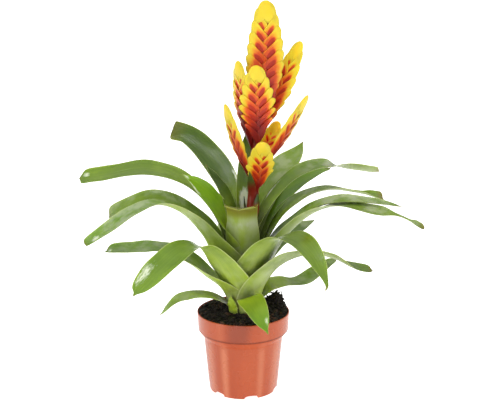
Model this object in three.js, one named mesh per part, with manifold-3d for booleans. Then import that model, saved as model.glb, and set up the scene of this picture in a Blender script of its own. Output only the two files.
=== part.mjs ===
// A flaming sword bromeliad (a branched Vriesea) growing in its plastic nursery pot.
// Millimetres, +Z up. The origin is the middle of the pot's foot, on the surface it stands on.
// -Y is the front of the plant, and azimuths run from +X towards +Y, in degrees.

import * as THREE from "three";
import { mergeVertices } from "three/addons/utils/BufferGeometryUtils.js";
import Module from "manifold-3d";

const wasm = await Module();
wasm.setup();

// ---------------------------------------------------------------- driving dimensions

const POT = {
  rimRadius: 60, // outside of the band at the mouth
  height: 106,
  wall: 1.6,
  bandDrop: 24, // height of the band below the mouth
  bandTaper: 1.2, // how far the band draws in over its height
  shoulderDrop: 33, // where the step under the band ends, below the mouth
  shoulderRadius: 51.5,
  footRadius: 44.5,
  footRing: 4.5, // width of the ring that the pot stands on
  floor: 7, // top of the raised floor
  floorThickness: 1.8,
  footNotches: 6,
  notchWidth: 15,
  notchHeight: 3.6,
  notchTurn: 14.5, // how far the notches are turned round the pot, in degrees
  drainHoles: 6,
  drainRadius: 4,
  drainCircle: 26,
  sides: 32,
};

const SOIL = {
  edgeDrop: 4, // soil line below the mouth, at the pot's wall
  crown: 5, // how much higher the middle stands
  heapAt: [43, 27], // the heap against the wall at the back right
  heapSize: [12, 15],
  heapHeight: 13,
  lump: 2.4,
  clearance: 0.9, // between the peat and the wall's round, so that their flats stay apart
  rings: 4,
  sides: 26,
  crumbs: 12,
  seed: 7,
};

const STOCK = {
  radius: 15, // the short woody stem that carries the leaves
  collarRadius: 18.6, // where it leaves the peat
  topRadius: 7.5,
  bottom: 72,
  top: 198,
  sides: 24,
};

const LEAF = {
  thickness: 1.3,
  edge: 0.7,
  seat: 1.2, // how far the round of a leaf's foot stands off the stock
  columns: 4,
  sheathLength: 55, // the part that wraps the stock before the blade leaves it
  widestWrap: 78, // half angle of the widest sheath, in degrees
  channel: 24, // half angle of the blade's trough
};

const SCAPE = {
  // [x, y, height, radius] down the middle of the flower stalk
  line: [[4, 0, 198.4, 6.5], [10, 0, 228, 6], [13.5, 0, 262, 5.4], [15, 0, 300, 4.4], [16, 1, 336, 3]],
  sides: 10,
};

const BRACT = {
  reach: 2.9, // length of a bract, in spacings of its own rank
  edge: 0.9, // half thickness beside the tip
  root: 0.7, // half thickness at the root
};

const BRANCH = {
  drop: 8, // how far below a spike's foot its stalk leaves the flower stalk
  rootRadius: 2.4,
  footRadius: 1.8,
  sides: 6,
};

const GAP = 0.3; // clearance between pieces that touch
const FINE_STEPS = 120; // samples of a midrib before its stations are chosen

const COLOURS = {
  terracotta: 0xcd6a48,
  peat: 0x241a16,
  stock: 0x8c9446,
  leaf: 0x5f8f2c,
  scape: 0x8e2418,
  bract: 0xe2551f,
};

// ---------------------------------------------------------------- materials

/** A plain finish of one colour. */
function finish(colour, roughness) {
  return new THREE.MeshStandardMaterial({ color: colour, roughness, metalness: 0 });
}

const MATERIALS = {
  pot: finish(COLOURS.terracotta, 0.42),
  soil: finish(COLOURS.peat, 0.95),
  stock: finish(COLOURS.stock, 0.6),
  leaf: finish(COLOURS.leaf, 0.32),
  scape: finish(COLOURS.scape, 0.4),
  bract: finish(COLOURS.bract, 0.35),
};

// ---------------------------------------------------------------- helpers

const radians = THREE.MathUtils.degToRad;
const lerp = THREE.MathUtils.lerp;
const smoothstep = THREE.MathUtils.smoothstep;

/** The closed solid of a geometry, ready to be cut or joined. */
function solidOf(geometry) {
  const bare = geometry.clone();
  bare.deleteAttribute("normal");
  bare.deleteAttribute("uv");
  const merged = mergeVertices(bare, 1e-4);
  return new wasm.Manifold(
    new wasm.Mesh({
      numProp: 3,
      vertProperties: merged.attributes.position.array,
      triVerts: new Uint32Array(merged.index.array),
    }),
  );
}

/** The geometry of a solid. */
function geometryOf(solid) {
  const mesh = solid.getMesh();
  return new THREE.BufferGeometry()
    .setAttribute("position", new THREE.BufferAttribute(mesh.vertProperties, 3))
    .setIndex(new THREE.BufferAttribute(mesh.triVerts, 1));
}

/** A geometry from a list of Vector3 and a flat list of triangle corners. */
function geometryFrom(points, corners) {
  return new THREE.BufferGeometry().setFromPoints(points).setIndex(corners);
}

/** Repeatable random numbers from 0 to 1. */
function randomFrom(seed) {
  let state = seed;
  return () => {
    state = (state * 1664525 + 1013904223) % 4294967296;
    return state / 4294967296;
  };
}

/** A point at an azimuth in degrees, a distance from the axis and a height. */
function polar(azimuth, reach, height) {
  const angle = radians(azimuth);
  return new THREE.Vector3(reach * Math.cos(angle), reach * Math.sin(angle), height);
}

/** The value at x of a smooth line through [x, y] pairs. */
function along(pairs, x) {
  for (let i = 1; i < pairs.length; i++) {
    const [x0, y0] = pairs[i - 1];
    const [x1, y1] = pairs[i];
    if (x <= x1) return lerp(y0, y1, smoothstep(x, x0, x1));
  }
  return pairs[pairs.length - 1][1];
}

/** A lathe about +Z from [radius, height] pairs that close on themselves or on the axis. */
function turned(profile, sides) {
  const outline = profile.map(([radius, height]) => new THREE.Vector2(radius, height));
  return new THREE.LatheGeometry(outline, sides).rotateX(Math.PI / 2);
}

// ---------------------------------------------------------------- pot

/** Inner radius of the pot at a height above the floor. */
function potInnerRadius(height) {
  const { mapLinear } = THREE.MathUtils;
  const shoulder = POT.height - POT.shoulderDrop;
  const bandFoot = POT.height - POT.bandDrop;
  const bandRadius = POT.rimRadius - POT.bandTaper;
  let outer = mapLinear(height, bandFoot, POT.height, bandRadius, POT.rimRadius);
  if (height < bandFoot) outer = mapLinear(height, shoulder, bandFoot, POT.shoulderRadius, bandRadius);
  if (height < shoulder) outer = mapLinear(height, 0, shoulder, POT.footRadius, POT.shoulderRadius);
  return outer - POT.wall;
}

/** The thin-walled pot: a tapered body, a band at the mouth, and a raised floor with drain holes. */
function potSolid() {
  const { height, wall, rimRadius, footRadius, shoulderRadius, floor } = POT;
  const shoulder = height - POT.shoulderDrop;
  const bandFoot = height - POT.bandDrop;
  const bandRadius = rimRadius - POT.bandTaper;
  const under = floor - POT.floorThickness;
  const profile = [
    [0, under],
    [footRadius - POT.footRing, under],
    [footRadius - POT.footRing + 0.6, 0],
    [footRadius - 1, 0],
    [footRadius, 2],
    [shoulderRadius, shoulder],
    [bandRadius, bandFoot],
    [rimRadius, height - 0.8],
    [rimRadius - 0.5, height],
    [rimRadius - wall, height],
    [bandRadius - wall, bandFoot + 0.8],
    [shoulderRadius - wall, shoulder + 0.8],
    [footRadius - wall, floor],
    [0, floor],
  ];
  let pot = solidOf(turned(profile, POT.sides));
  const notchSpan = 2 * Math.PI / POT.footNotches;
  for (let i = 0; i < POT.footNotches; i++) {
    const notch = new THREE.CylinderGeometry(
      POT.notchWidth / 2, POT.notchWidth / 2, 3 * POT.footRing, 10,
    ).scale(1, 1, (2 * POT.notchHeight) / POT.notchWidth);
    const turn = (i + 0.5) * notchSpan + THREE.MathUtils.degToRad(POT.notchTurn);
    notch.rotateZ(Math.PI / 2).translate(footRadius, 0, 0).rotateZ(turn);
    pot = pot.subtract(solidOf(notch));
  }
  for (let i = 0; i < POT.drainHoles; i++) {
    const hole = new THREE.CylinderGeometry(POT.drainRadius, POT.drainRadius, 2 * floor, 8)
      .rotateX(Math.PI / 2)
      .translate(POT.drainCircle, 0, floor)
      .rotateZ((i * 2 * Math.PI) / POT.drainHoles);
    pot = pot.subtract(solidOf(hole));
  }
  return pot;
}

// ---------------------------------------------------------------- soil

/** Height of the peat's surface before its lumps. */
function soilHeight(reach) {
  const edge = POT.height - SOIL.edgeDrop;
  return edge + SOIL.crown * (1 - smoothstep(reach, 0, potInnerRadius(edge)));
}

/** Height of the heap over the crown at a place. */
function heapHeight(x, y) {
  const [overX, overY] = [(x - SOIL.heapAt[0]) / SOIL.heapSize[0], (y - SOIL.heapAt[1]) / SOIL.heapSize[1]];
  return SOIL.heapHeight * Math.exp(-(overX ** 2) - overY ** 2);
}

/** The plug of peat: it fills the pot to a lumpy crown, with a plain hole for the stock. */
function soilSolid() {
  const random = randomFrom(SOIL.seed);
  const { rings, sides } = SOIL;
  const edge = POT.height - SOIL.edgeDrop;
  const levels = [POT.floor + GAP, POT.height - POT.shoulderDrop, POT.height - POT.bandDrop + 1, edge];
  const points = [new THREE.Vector3(0, 0, levels[0])];
  levels.forEach((level) => {
    for (let j = 0; j < sides; j++) {
      const point = polar((j * 360) / sides, potInnerRadius(level) - SOIL.clearance, level);
      point.z += level === edge ? heapHeight(point.x, point.y) : 0;
      points.push(point);
    }
  });
  for (let i = rings - 1; i > 0; i--) {
    const reach = ((potInnerRadius(edge) - SOIL.clearance) * i) / rings;
    for (let j = 0; j < sides; j++) {
      const lump = SOIL.lump * (random() - 0.35);
      const point = polar((j * 360) / sides + 3 * random(), reach, soilHeight(reach) + lump);
      point.z += heapHeight(point.x, point.y);
      points.push(point);
    }
  }
  points.push(new THREE.Vector3(0, 0, soilHeight(0)));
  const corners = [];
  const last = points.length - 1;
  const loops = levels.length + rings - 1;
  for (let j = 0; j < sides; j++) {
    const next = (j + 1) % sides;
    corners.push(0, 1 + next, 1 + j);
    for (let i = 0; i < loops - 1; i++) {
      const a = 1 + i * sides + j;
      const b = 1 + i * sides + next;
      corners.push(a, b, b + sides, a, b + sides, a + sides);
    }
    corners.push(last, last - sides + j, last - sides + next);
  }
  let soil = solidOf(geometryFrom(points, corners));
  for (let i = 0; i < SOIL.crumbs; i++) {
    const size = 2 + 2.6 * random();
    const reach = 20 + 33 * Math.sqrt(random());
    const place = polar(360 * random(), reach, soilHeight(reach) + 0.1 * size);
    const crumb = new THREE.IcosahedronGeometry(size, 0)
      .scale(1, 0.7 + 0.5 * random(), 0.55 + 0.3 * random())
      .rotateZ(2 * Math.PI * random())
      .translate(place.x, place.y, place.z);
    soil = soil.add(solidOf(crumb));
  }
  const hole = turned(
    [
      [0, STOCK.bottom - GAP],
      [STOCK.collarRadius + GAP, STOCK.bottom - GAP],
      [STOCK.collarRadius + GAP, POT.height + 40],
      [0, POT.height + 40],
    ],
    STOCK.sides,
  );
  return soil.subtract(solidOf(hole));
}

// ---------------------------------------------------------------- stock

/** Radius of the stock at a height: it widens to a collar at the peat and narrows above it. */
function stockRadius(height) {
  const { mapLinear } = THREE.MathUtils;
  const { bottom, top, radius, collarRadius, topRadius } = STOCK;
  if (height < POT.height) return mapLinear(height, bottom, POT.height, radius, collarRadius);
  return mapLinear(height, POT.height, top, collarRadius, topRadius);
}

/** The short stem that the leaves and the flower stalk grow from, grown by an allowance. */
function stockSolid(allowance) {
  const profile = [[0, STOCK.bottom - allowance]];
  const steps = 8;
  for (let i = 0; i <= steps; i++) {
    const height = lerp(STOCK.bottom - allowance, STOCK.top + allowance, i / steps);
    profile.push([stockRadius(height) + allowance, height]);
  }
  profile.push([0, STOCK.top + allowance]);
  return solidOf(turned(profile, STOCK.sides));
}

// ---------------------------------------------------------------- leaves

// Half width along a blade, as a share of its widest, for each kind of tip.
const OUTLINES = {
  strap: [[0, 0.9], [0.36, 0.9], [0.6, 1], [0.82, 0.92], [0.94, 0.66], [0.985, 0.3], [1, 0.05]],
  broad: [[0, 0.86], [0.4, 0.92], [0.64, 1], [0.82, 0.82], [0.92, 0.54], [0.98, 0.2], [1, 0.04]],
  narrow: [[0, 0.86], [0.4, 0.86], [0.66, 1], [0.82, 0.6], [0.91, 0.28], [0.98, 0.2], [1, 0.05]],
  tapered: [[0, 0.9], [0.3, 0.94], [0.5, 1], [0.7, 0.8], [0.86, 0.46], [0.96, 0.16], [1, 0.04]],
};

// Where a leaf's roll is given, as shares of its length. Its foot has none.
const ROLL_AT = [0.45, 0.72, 1];

// Where the stations of a leaf lie, as shares of its length: closer at its foot and its tip.
const STATIONS = [0, 0.08, 0.16, 0.25, 0.34, 0.44, 0.54, 0.64, 0.74, 0.85, 0.93, 0.98, 1];

// From the heart of the rosette outwards. root is the height of the foot on the stock, azimuth the way
// the leaf points, width the widest of its blade, sheath the width round its foot, roll the turn of the
// blade at three places (see ROLL_AT), and path the [reach, height, drift] points of its midrib after
// the foot. Drift is how far the leaf has swung round from its azimuth by then.
const LEAVES = [
  { root: 190, azimuth: 78, width: 24, sheath: 22, roll: [0, 0, 0], tip: "tapered",
    path: [[12, 216], [14, 270], [24, 318], [40, 345]] },
  { root: 186, azimuth: 104, width: 34, sheath: 26, roll: [0, 0, 0], tip: "strap",
    path: [[16, 210], [28, 246, 2], [56, 280, 8], [88, 304, 14], [117, 320, 21], [140, 325, 28]] },
  { root: 182, azimuth: 14, width: 32, sheath: 26, roll: [12, -8, -40], tip: "strap",
    path: [[16, 206], [25, 232], [38, 255], [56, 277], [79, 292], [104, 298], [132, 293], [183, 280]] },
  { root: 177, azimuth: 150, width: 22, sheath: 26, roll: [-10, -16, -20], tip: "tapered",
    path: [[17, 204], [20, 240], [30, 264], [43, 279], [56, 294]] },
  { root: 173, azimuth: 56, width: 40, sheath: 28, roll: [10, 10, 0], tip: "broad",
    path: [[19, 199], [34, 231], [60, 259], [95, 284], [121, 298], [143, 311]] },
  { root: 168, azimuth: 203, width: 36, sheath: 36, roll: [-14, -24, -10], tip: "strap",
    path: [[18, 194], [26, 230], [44, 260], [64, 283], [84, 300]] },
  { root: 164, azimuth: 268, width: 42, sheath: 54, roll: [0, 0, 0], tip: "strap",
    path: [[20, 190], [27, 222], [35, 245], [52, 256], [84, 263], [124, 272]] },
  { root: 160, azimuth: 30, width: 30, sheath: 28, roll: [10, 14, 10], tip: "strap",
    path: [[20, 186], [32, 217], [52, 243], [77, 260], [104, 272], [134, 281]] },
  { root: 156, azimuth: 163, width: 36, sheath: 44, roll: [-14, -22, -12], tip: "strap",
    path: [[21, 182], [30, 222], [54, 255], [88, 277], [122, 285], [150, 284], [190, 274], [228, 267]] },
  { root: 152, azimuth: 6, width: 34, sheath: 44, roll: [6, -8, 24], tip: "strap",
    path: [[22, 178], [36, 212], [56, 238], [82, 256], [112, 263], [146, 260], [181, 252]] },
  { root: 148, azimuth: 92, width: 34, sheath: 34, roll: [0, 0, 0], tip: "strap",
    path: [[23, 174], [42, 212], [70, 235], [110, 237], [159, 218]] },
  { root: 144, azimuth: 176, width: 33, sheath: 44, roll: [-10, -14, -14], tip: "strap",
    path: [[24, 170], [34, 204], [52, 229], [78, 248], [104, 257], [134, 255], [173, 234]] },
  { root: 140, azimuth: -8, width: 32, sheath: 46, roll: [8, 6, 0], tip: "strap",
    path: [[24, 166], [39, 202], [60, 228], [86, 247], [120, 259], [156, 258], [201, 250]] },
  { root: 136, azimuth: 236, width: 30, sheath: 48, roll: [-6, -24, -40], tip: "strap",
    path: [[25, 162, -10], [38, 194, -20], [60, 226, -28], [88, 250, -34], [116, 260, -36],
      [145, 253, -36], [176, 235, -36], [208, 220, -36]] },
  { root: 133, azimuth: -46, width: 30, sheath: 42, roll: [2, 20, 20], tip: "narrow",
    path: [[25, 158, 8], [42, 193, 18], [66, 221, 26], [96, 243, 31], [130, 254, 32], [166, 251, 32],
      [198, 240, 33], [229, 229, 34]] },
  { root: 130, azimuth: -58, width: 42, sheath: 60, roll: [4, 10, 16], tip: "tapered",
    path: [[26, 155], [41, 186], [66, 216], [98, 230], [130, 230], [156, 216], [182, 188]] },
  { root: 127, azimuth: 100, width: 34, sheath: 30, roll: [0, 0, 0], tip: "strap",
    path: [[27, 152], [47, 184], [80, 198], [115, 190], [146, 165]] },
  { root: 124, azimuth: 40, width: 28, sheath: 32, roll: [6, 10, 12], tip: "tapered",
    path: [[27, 149], [47, 178], [75, 196], [100, 204], [126, 208]] },
  { root: 123, azimuth: 187, width: 12, sheath: 16, roll: [0, 0, 0], tip: "tapered",
    path: [[24.5, 147], [35, 170], [50, 186]] },
  { root: 121, azimuth: 232, width: 40, sheath: 54, roll: [0, -6, -10], tip: "broad",
    path: [[28, 146], [39, 168], [58, 193], [85, 212], [118, 215], [154, 204], [203, 181]] },
  { root: 119, azimuth: 172, width: 32, sheath: 46, roll: [-6, -10, -12], tip: "strap",
    path: [[28, 140], [45, 159], [67, 178], [98, 189], [128, 188], [152, 183], [181, 182]] },
  { root: 117, azimuth: -38, width: 28, sheath: 50, roll: [10, -6, 20], tip: "strap",
    path: [[28, 142], [43, 167, 4], [65, 185, 9], [92, 194, 14], [118, 190, 18], [140, 179, 21],
      [168, 172, 24]] },
  { root: 115, azimuth: 82, width: 32, sheath: 32, roll: [0, 0, 0], tip: "strap",
    path: [[28, 138], [50, 160], [85, 166], [122, 152], [150, 128]] },
  { root: 113, azimuth: 30, width: 26, sheath: 34, roll: [0, 2, 6], tip: "strap",
    path: [[31, 125], [42, 131], [60, 133], [86, 130], [112, 138], [146, 154]] },
  { root: 111, azimuth: 100, width: 28, sheath: 34, roll: [0, 0, 0], tip: "tapered",
    path: [[28, 128], [50, 139], [80, 140], [110, 124], [128, 104]] },
  { root: 110, azimuth: 188, width: 20, sheath: 36, roll: [0, 0, 0], tip: "tapered",
    path: [[27, 120], [42, 128], [62, 131], [82, 127], [98, 116], [108, 106]] },
  { root: 109, azimuth: -68, width: 32, sheath: 38, roll: [0, 0, 0], tip: "tapered",
    path: [[24, 124], [33, 134], [48, 136], [65, 126], [84, 102]] },
  { root: 108, azimuth: 230, width: 18, sheath: 22, roll: [0, 0, 0], tip: "tapered",
    path: [[23, 114], [27, 123], [30, 131]] },
];

// Bracts on the bare part of the stalk.
const SCAPE_BRACTS = [
  { at: [11, 0, 232], azimuth: -105, length: 48, width: 13, lean: 2 },
  { at: [12, 0, 236], azimuth: -12, length: 25, width: 12, lean: 2 },
  { at: [10, 0, 222], azimuth: 165, length: 36, width: 12, lean: 2 },
];

// foot and tip of each spike, the azimuth its flat faces, its widest, the half thickness of its bracts'
// free margins, how far its middle bows towards the side it faces, and how many pairs of bracts it has.
const SPIKES = [
  { name: "spike_main", foot: [16.5, 1, 336], tip: [27, 3, 504], azimuth: -90,
    width: 43, depth: 4.2, bow: 0, pairs: 10 },
  { name: "spike_front", foot: [20, -5, 322], tip: [15.5, -34, 429], azimuth: -86,
    width: 38, depth: 3.8, bow: 6, pairs: 6 },
  { name: "spike_left", foot: [10, -1, 318], tip: [-5, -4, 430], azimuth: 214,
    width: 32, depth: 3.2, bow: 5, pairs: 6 },
  { name: "spike_right", foot: [20, 4, 326], tip: [72, 26, 452], azimuth: 42,
    width: 36, depth: 3.6, bow: 6, pairs: 6 },
  { name: "spike_low_front", foot: [18, -5, 264], tip: [24, -37, 336], azimuth: -84,
    width: 33, depth: 3.2, bow: 5, pairs: 4 },
  { name: "spike_low_left", foot: [10, -2, 272], tip: [-22, -8, 378], azimuth: 206,
    width: 28, depth: 3, bow: 5, pairs: 5 },
  { name: "spike_low_right", foot: [19, -1, 286], tip: [80, -4, 387], azimuth: -14,
    width: 27, depth: 3, bow: 4, pairs: 5 },
  { name: "spike_back", foot: [18, 5, 296], tip: [45, 24, 349], azimuth: 56,
    width: 26, depth: 3, bow: 3, pairs: 4 },
];

/** Samples of a leaf's midrib with its frame: centre, across the blade, and in towards its upper face. */
function midribOf(leaf) {
  const foot = stockRadius(leaf.root) + LEAF.seat + LEAF.thickness / 2;
  const knots = [[foot, leaf.root], ...leaf.path];
  const curve = new THREE.CatmullRomCurve3(
    knots.map(([reach, height, drift = 0]) => polar(leaf.azimuth + drift, reach, height)),
    false,
    "catmullrom",
    0.5,
  );
  const samples = [];
  let inward = polar(leaf.azimuth, -1, 0);
  let travelled = 0;
  for (let i = 0; i <= FINE_STEPS; i++) {
    const centre = curve.getPoint(i / FINE_STEPS);
    const tangent = curve.getTangent(i / FINE_STEPS);
    inward = inward.clone().addScaledVector(tangent, -inward.dot(tangent)).normalize();
    if (i) travelled += centre.distanceTo(samples[i - 1].centre);
    samples.push({ centre, tangent, inward, travelled });
  }
  return samples;
}

/** The stations of a leaf, each with its frame, half width and the half angle of its trough. */
function stationsOf(leaf) {
  const samples = midribOf(leaf);
  const length = samples[FINE_STEPS].travelled;
  const stations = [];
  for (const share of STATIONS) {
    const sample = samples.find((s) => s.travelled >= share * length - 1e-6);
    const { centre, tangent, inward, travelled } = sample;
    const across = new THREE.Vector3().crossVectors(inward, tangent).normalize();
    const roll = radians(along([[0.1, 0], ...ROLL_AT.map((at, i) => [at, leaf.roll[i]])], share));
    across.applyAxisAngle(tangent, roll);
    const upper = inward.clone().applyAxisAngle(tangent, roll);
    const toAxis = new THREE.Vector3(-centre.x, -centre.y, 0).normalize();
    const free = smoothstep(travelled, 0.4 * LEAF.sheathLength, 1.5 * LEAF.sheathLength);
    const reach = Math.hypot(centre.x, centre.y);
    const blade = (leaf.width / 2) * along(OUTLINES[leaf.tip], share);
    const widest = Math.min(leaf.sheath / 2, radians(LEAF.widestWrap) * reach);
    const halfWidth = lerp(widest, blade, free);
    const wrap = lerp(halfWidth / reach, radians(LEAF.channel), free);
    stations.push({
      centre,
      across,
      upper: toAxis.lerp(upper, free).normalize(),
      halfWidth,
      wrap,
      thickness: lerp(LEAF.thickness, LEAF.edge, smoothstep(share, 0.7, 1)),
    });
  }
  return stations;
}

/** A closed blade, with the same triangles on its upper and lower faces, grown by an allowance. */
function leafSolid(leaf, allowance) {
  const columns = LEAF.columns;
  const points = [];
  const stations = stationsOf(leaf);
  for (const { centre, across, upper, halfWidth, wrap, thickness } of stations) {
    const radius = halfWidth / wrap;
    for (const face of [1, -1]) {
      for (let j = 0; j <= columns; j++) {
        const side = (2 * j) / columns - 1;
        const angle = side * (wrap + allowance / radius);
        const half = face * (lerp(thickness, LEAF.edge, side * side) / 2 + allowance);
        points.push(
          centre
            .clone()
            .addScaledVector(across, (radius - half) * Math.sin(angle))
            .addScaledVector(upper, radius - (radius - half) * Math.cos(angle)),
        );
      }
    }
  }
  const ring = 2 * (columns + 1);
  const corners = [];
  const quad = (a, b, c, d) => corners.push(a, c, b, a, d, c);
  const last = stations.length - 1;
  for (let i = 0; i < last; i++) {
    const here = i * ring;
    const next = here + ring;
    const back = columns + 1;
    for (let j = 0; j < columns; j++) {
      quad(here + j, here + j + 1, next + j + 1, next + j);
      quad(here + back + j + 1, here + back + j, next + back + j, next + back + j + 1);
    }
    quad(here + back, here, next, next + back);
    quad(here + columns, here + back + columns, next + back + columns, next + columns);
  }
  const cap = (start, flip) => {
    for (let j = 0; j < columns; j++) {
      const [a, b] = [start + j, start + j + 1];
      const [c, d] = [b + columns + 1, a + columns + 1];
      if (flip) quad(d, c, b, a);
      else quad(a, b, c, d);
    }
  };
  cap(0, true);
  cap(last * ring, false);
  return solidOf(geometryFrom(points, corners));
}

/** The largest body of a solid. */
function largestOf(solid) {
  return solid.decompose().sort((a, b) => b.volume() - a.volume())[0];
}

/** Every leaf, each cut clear of the leaves nearer the heart and of the parts it grows on. */
function leafSolids(carriers) {
  const built = [...carriers];
  return LEAVES.map((leaf) => {
    let solid = leafSolid(leaf, 0);
    for (const inner of built) solid = solid.subtract(inner);
    built.push(leafSolid(leaf, GAP));
    return largestOf(solid);
  });
}

// ---------------------------------------------------------------- flower stalk

/** A tapered rod through [x, y, height, radius] stations, grown by an allowance. */
function rodSolid(line, sides, allowance) {
  let rod = null;
  for (let i = 1; i < line.length; i++) {
    const ends = [line[i - 1], line[i]].map(([x, y, height, radius]) => {
      const points = [];
      for (let j = 0; j < sides; j++) {
        const ring = polar((j * 360) / sides, radius + allowance, height);
        points.push([ring.x + x, ring.y + y, height]);
      }
      return points;
    });
    const piece = wasm.Manifold.hull(ends.flat());
    rod = rod ? rod.add(piece) : piece;
  }
  return rod;
}

/** A scape bract: a boat that clasps the stalk at its foot and ends in a free point. */
function scapeBract({ at, azimuth, length, width, lean }) {
  const [x, y, height] = at;
  const points = [];
  const side = polar(azimuth + 90, 1, 0);
  const out = polar(azimuth, 1, 0);
  const shape = [[0, 3.5, 0.6], [0.3, 6.6, 1], [0.65, 7, 0.7], [1, 6.2 + lean, 0.06]];
  for (const [share, reach, spread] of shape) {
    for (const across of [-1, 0, 1]) {
      for (const depth of [0.45, -0.45]) {
        const bulge = reach + depth - 0.35 * spread * width * Math.abs(across) * 0.8;
        points.push([
          x + out.x * bulge + (side.x * across * spread * width) / 2,
          y + out.y * bulge + (side.y * across * spread * width) / 2,
          height + share * length,
        ]);
      }
    }
  }
  return wasm.Manifold.hull(points);
}

/** The stalk with its clasping bracts. */
function scapeSolid() {
  let scape = rodSolid(SCAPE.line, SCAPE.sides, 0);
  for (const bract of SCAPE_BRACTS) scape = scape.add(scapeBract(bract));
  return scape;
}

// ---------------------------------------------------------------- flower spikes

// Half width of a spike, as a share of its widest, from foot to tip.
const SPIKE_OUTLINE = [
  [0, 0.14], [0.16, 0.32], [0.3, 0.56], [0.44, 0.88], [0.57, 1],
  [0.7, 0.93], [0.82, 0.78], [0.92, 0.58], [1, 0.16],
];

/** Places a point of a spike: across its flat, out of its flat, and a share of its length up it. */
function spikeFrame(spike) {
  const foot = new THREE.Vector3(...spike.foot);
  const tip = new THREE.Vector3(...spike.tip);
  const face = polar(spike.azimuth, 1, 0);
  const bend = foot.clone().lerp(tip, 0.45).addScaledVector(face, spike.bow);
  const curve = new THREE.QuadraticBezierCurve3(foot, bend, tip);
  const length = curve.getLength();
  const place = (across, height, depth) => {
    const share = THREE.MathUtils.clamp(height / length, 0, 1);
    const tangent = curve.getTangent(share);
    const normal = face.clone().addScaledVector(tangent, -face.dot(tangent)).normalize();
    const side = new THREE.Vector3().crossVectors(tangent, normal);
    return curve
      .getPoint(share)
      .addScaledVector(tangent, height - share * length)
      .addScaledVector(side, across)
      .addScaledVector(normal, depth);
  };
  const halfWidthAt = (height) => (spike.width / 2) * along(SPIKE_OUTLINE, height / length);
  return { length, place, halfWidthAt };
}

/** One keeled bract: folded about its keel, clasping the spike, its free margin standing proud. */
function bractSolid({ place, halfWidthAt }, { root, length, depth, side }) {
  const { edge } = BRACT;
  const outline = [
    [0, 0, BRACT.root],
    [0.6, 0.22, 0],
    [0.98, 0.62, 0],
    [0.92, 1, 0],
    [0.8, 0.9, edge],
    [-0.12, 0.54, depth],
  ];
  const points = [];
  for (const [across, up, half] of outline) {
    const height = root + up * length;
    for (const face of half ? [1, -1] : [1]) {
      points.push(place(side * across * halfWidthAt(height), height, face * half).toArray());
    }
  }
  return wasm.Manifold.hull(points);
}

/** The closed bud at a spike's tip. */
function budSolid({ place, halfWidthAt, length }, depth) {
  const points = [];
  for (const [share, half] of [[0.76, 0.5], [0.88, 1], [1, 0.4]]) {
    const height = share * length;
    const reach = 0.9 * halfWidthAt(height);
    for (const [across, out] of [[-reach, 0], [0, half * depth], [0, -half * depth], [reach, 0]]) {
      points.push(place(across, height, out).toArray());
    }
  }
  return wasm.Manifold.hull(points);
}

/** Every bract of a spike, from the foot up, in two ranks that alternate. */
function bractsOf(spike, length) {
  const spacing = length / (spike.pairs + BRACT.reach - 0.4);
  const bracts = [];
  for (let i = 0; i < 2 * spike.pairs; i++) {
    const root = (i * spacing) / 2;
    const reach = Math.min(BRACT.reach * spacing, length - root);
    const crown = (root + 0.8 * reach) / length;
    bracts.push({
      root,
      length: reach,
      depth: spike.depth * (1 - 0.5 * smoothstep(crown, 0.6, 1)),
      side: i % 2 ? 1 : -1,
    });
  }
  return bracts;
}

/** The middle of the flower stalk at a height. */
function scapeCentre(height) {
  const [x, y] = [0, 1].map((k) => along(SCAPE.line.map((station) => [station[2], station[k]]), height));
  return [x, y, height];
}

/** The short stalk of a spike, from the middle of the flower stalk to the spike's foot. */
function branchSolid(spike) {
  const root = scapeCentre(spike.foot[2] - BRANCH.drop);
  const line = [[...root, BRANCH.rootRadius], [...spike.foot, BRANCH.footRadius]];
  return rodSolid(line, BRANCH.sides, 0);
}

/** A spike: its stalk and its bracts, cut clear of the flower stalk. */
function spikeSolid(spike) {
  const frame = spikeFrame(spike);
  let solid = budSolid(frame, 0.7 * spike.depth).add(branchSolid(spike));
  for (const bract of bractsOf(spike, frame.length)) solid = solid.add(bractSolid(frame, bract));
  const clear = rodSolid(SCAPE.line, SCAPE.sides, GAP);
  return largestOf(solid.subtract(clear));
}

// ---------------------------------------------------------------- the plant in its pot

const plant = new THREE.Group();

/** Adds a named mesh to the plant. */
function add(name, geometry, material) {
  const mesh = new THREE.Mesh(geometry, material);
  mesh.name = name;
  plant.add(mesh);
  return mesh;
}

add("pot", geometryOf(potSolid()), MATERIALS.pot);
add("soil", geometryOf(soilSolid()), MATERIALS.soil);
add("stock", geometryOf(stockSolid(0)), MATERIALS.stock);
add("scape", geometryOf(scapeSolid()), MATERIALS.scape);
for (const spike of SPIKES) add(spike.name, geometryOf(spikeSolid(spike)), MATERIALS.bract);
const carriers = [stockSolid(GAP), rodSolid(SCAPE.line, SCAPE.sides, GAP)];
leafSolids(carriers).forEach((solid, i) => {
  add(`leaf_${String(i + 1).padStart(2, "0")}`, geometryOf(solid), MATERIALS.leaf);
});

export default plant;
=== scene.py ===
"""Finished surfaces of a branched flaming sword bromeliad in its nursery pot."""

import logging
import math
from dataclasses import dataclass, field
from enum import Enum
from typing import Iterable, Sequence

import bmesh
import bpy
import numpy as np
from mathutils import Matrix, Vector, noise


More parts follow.
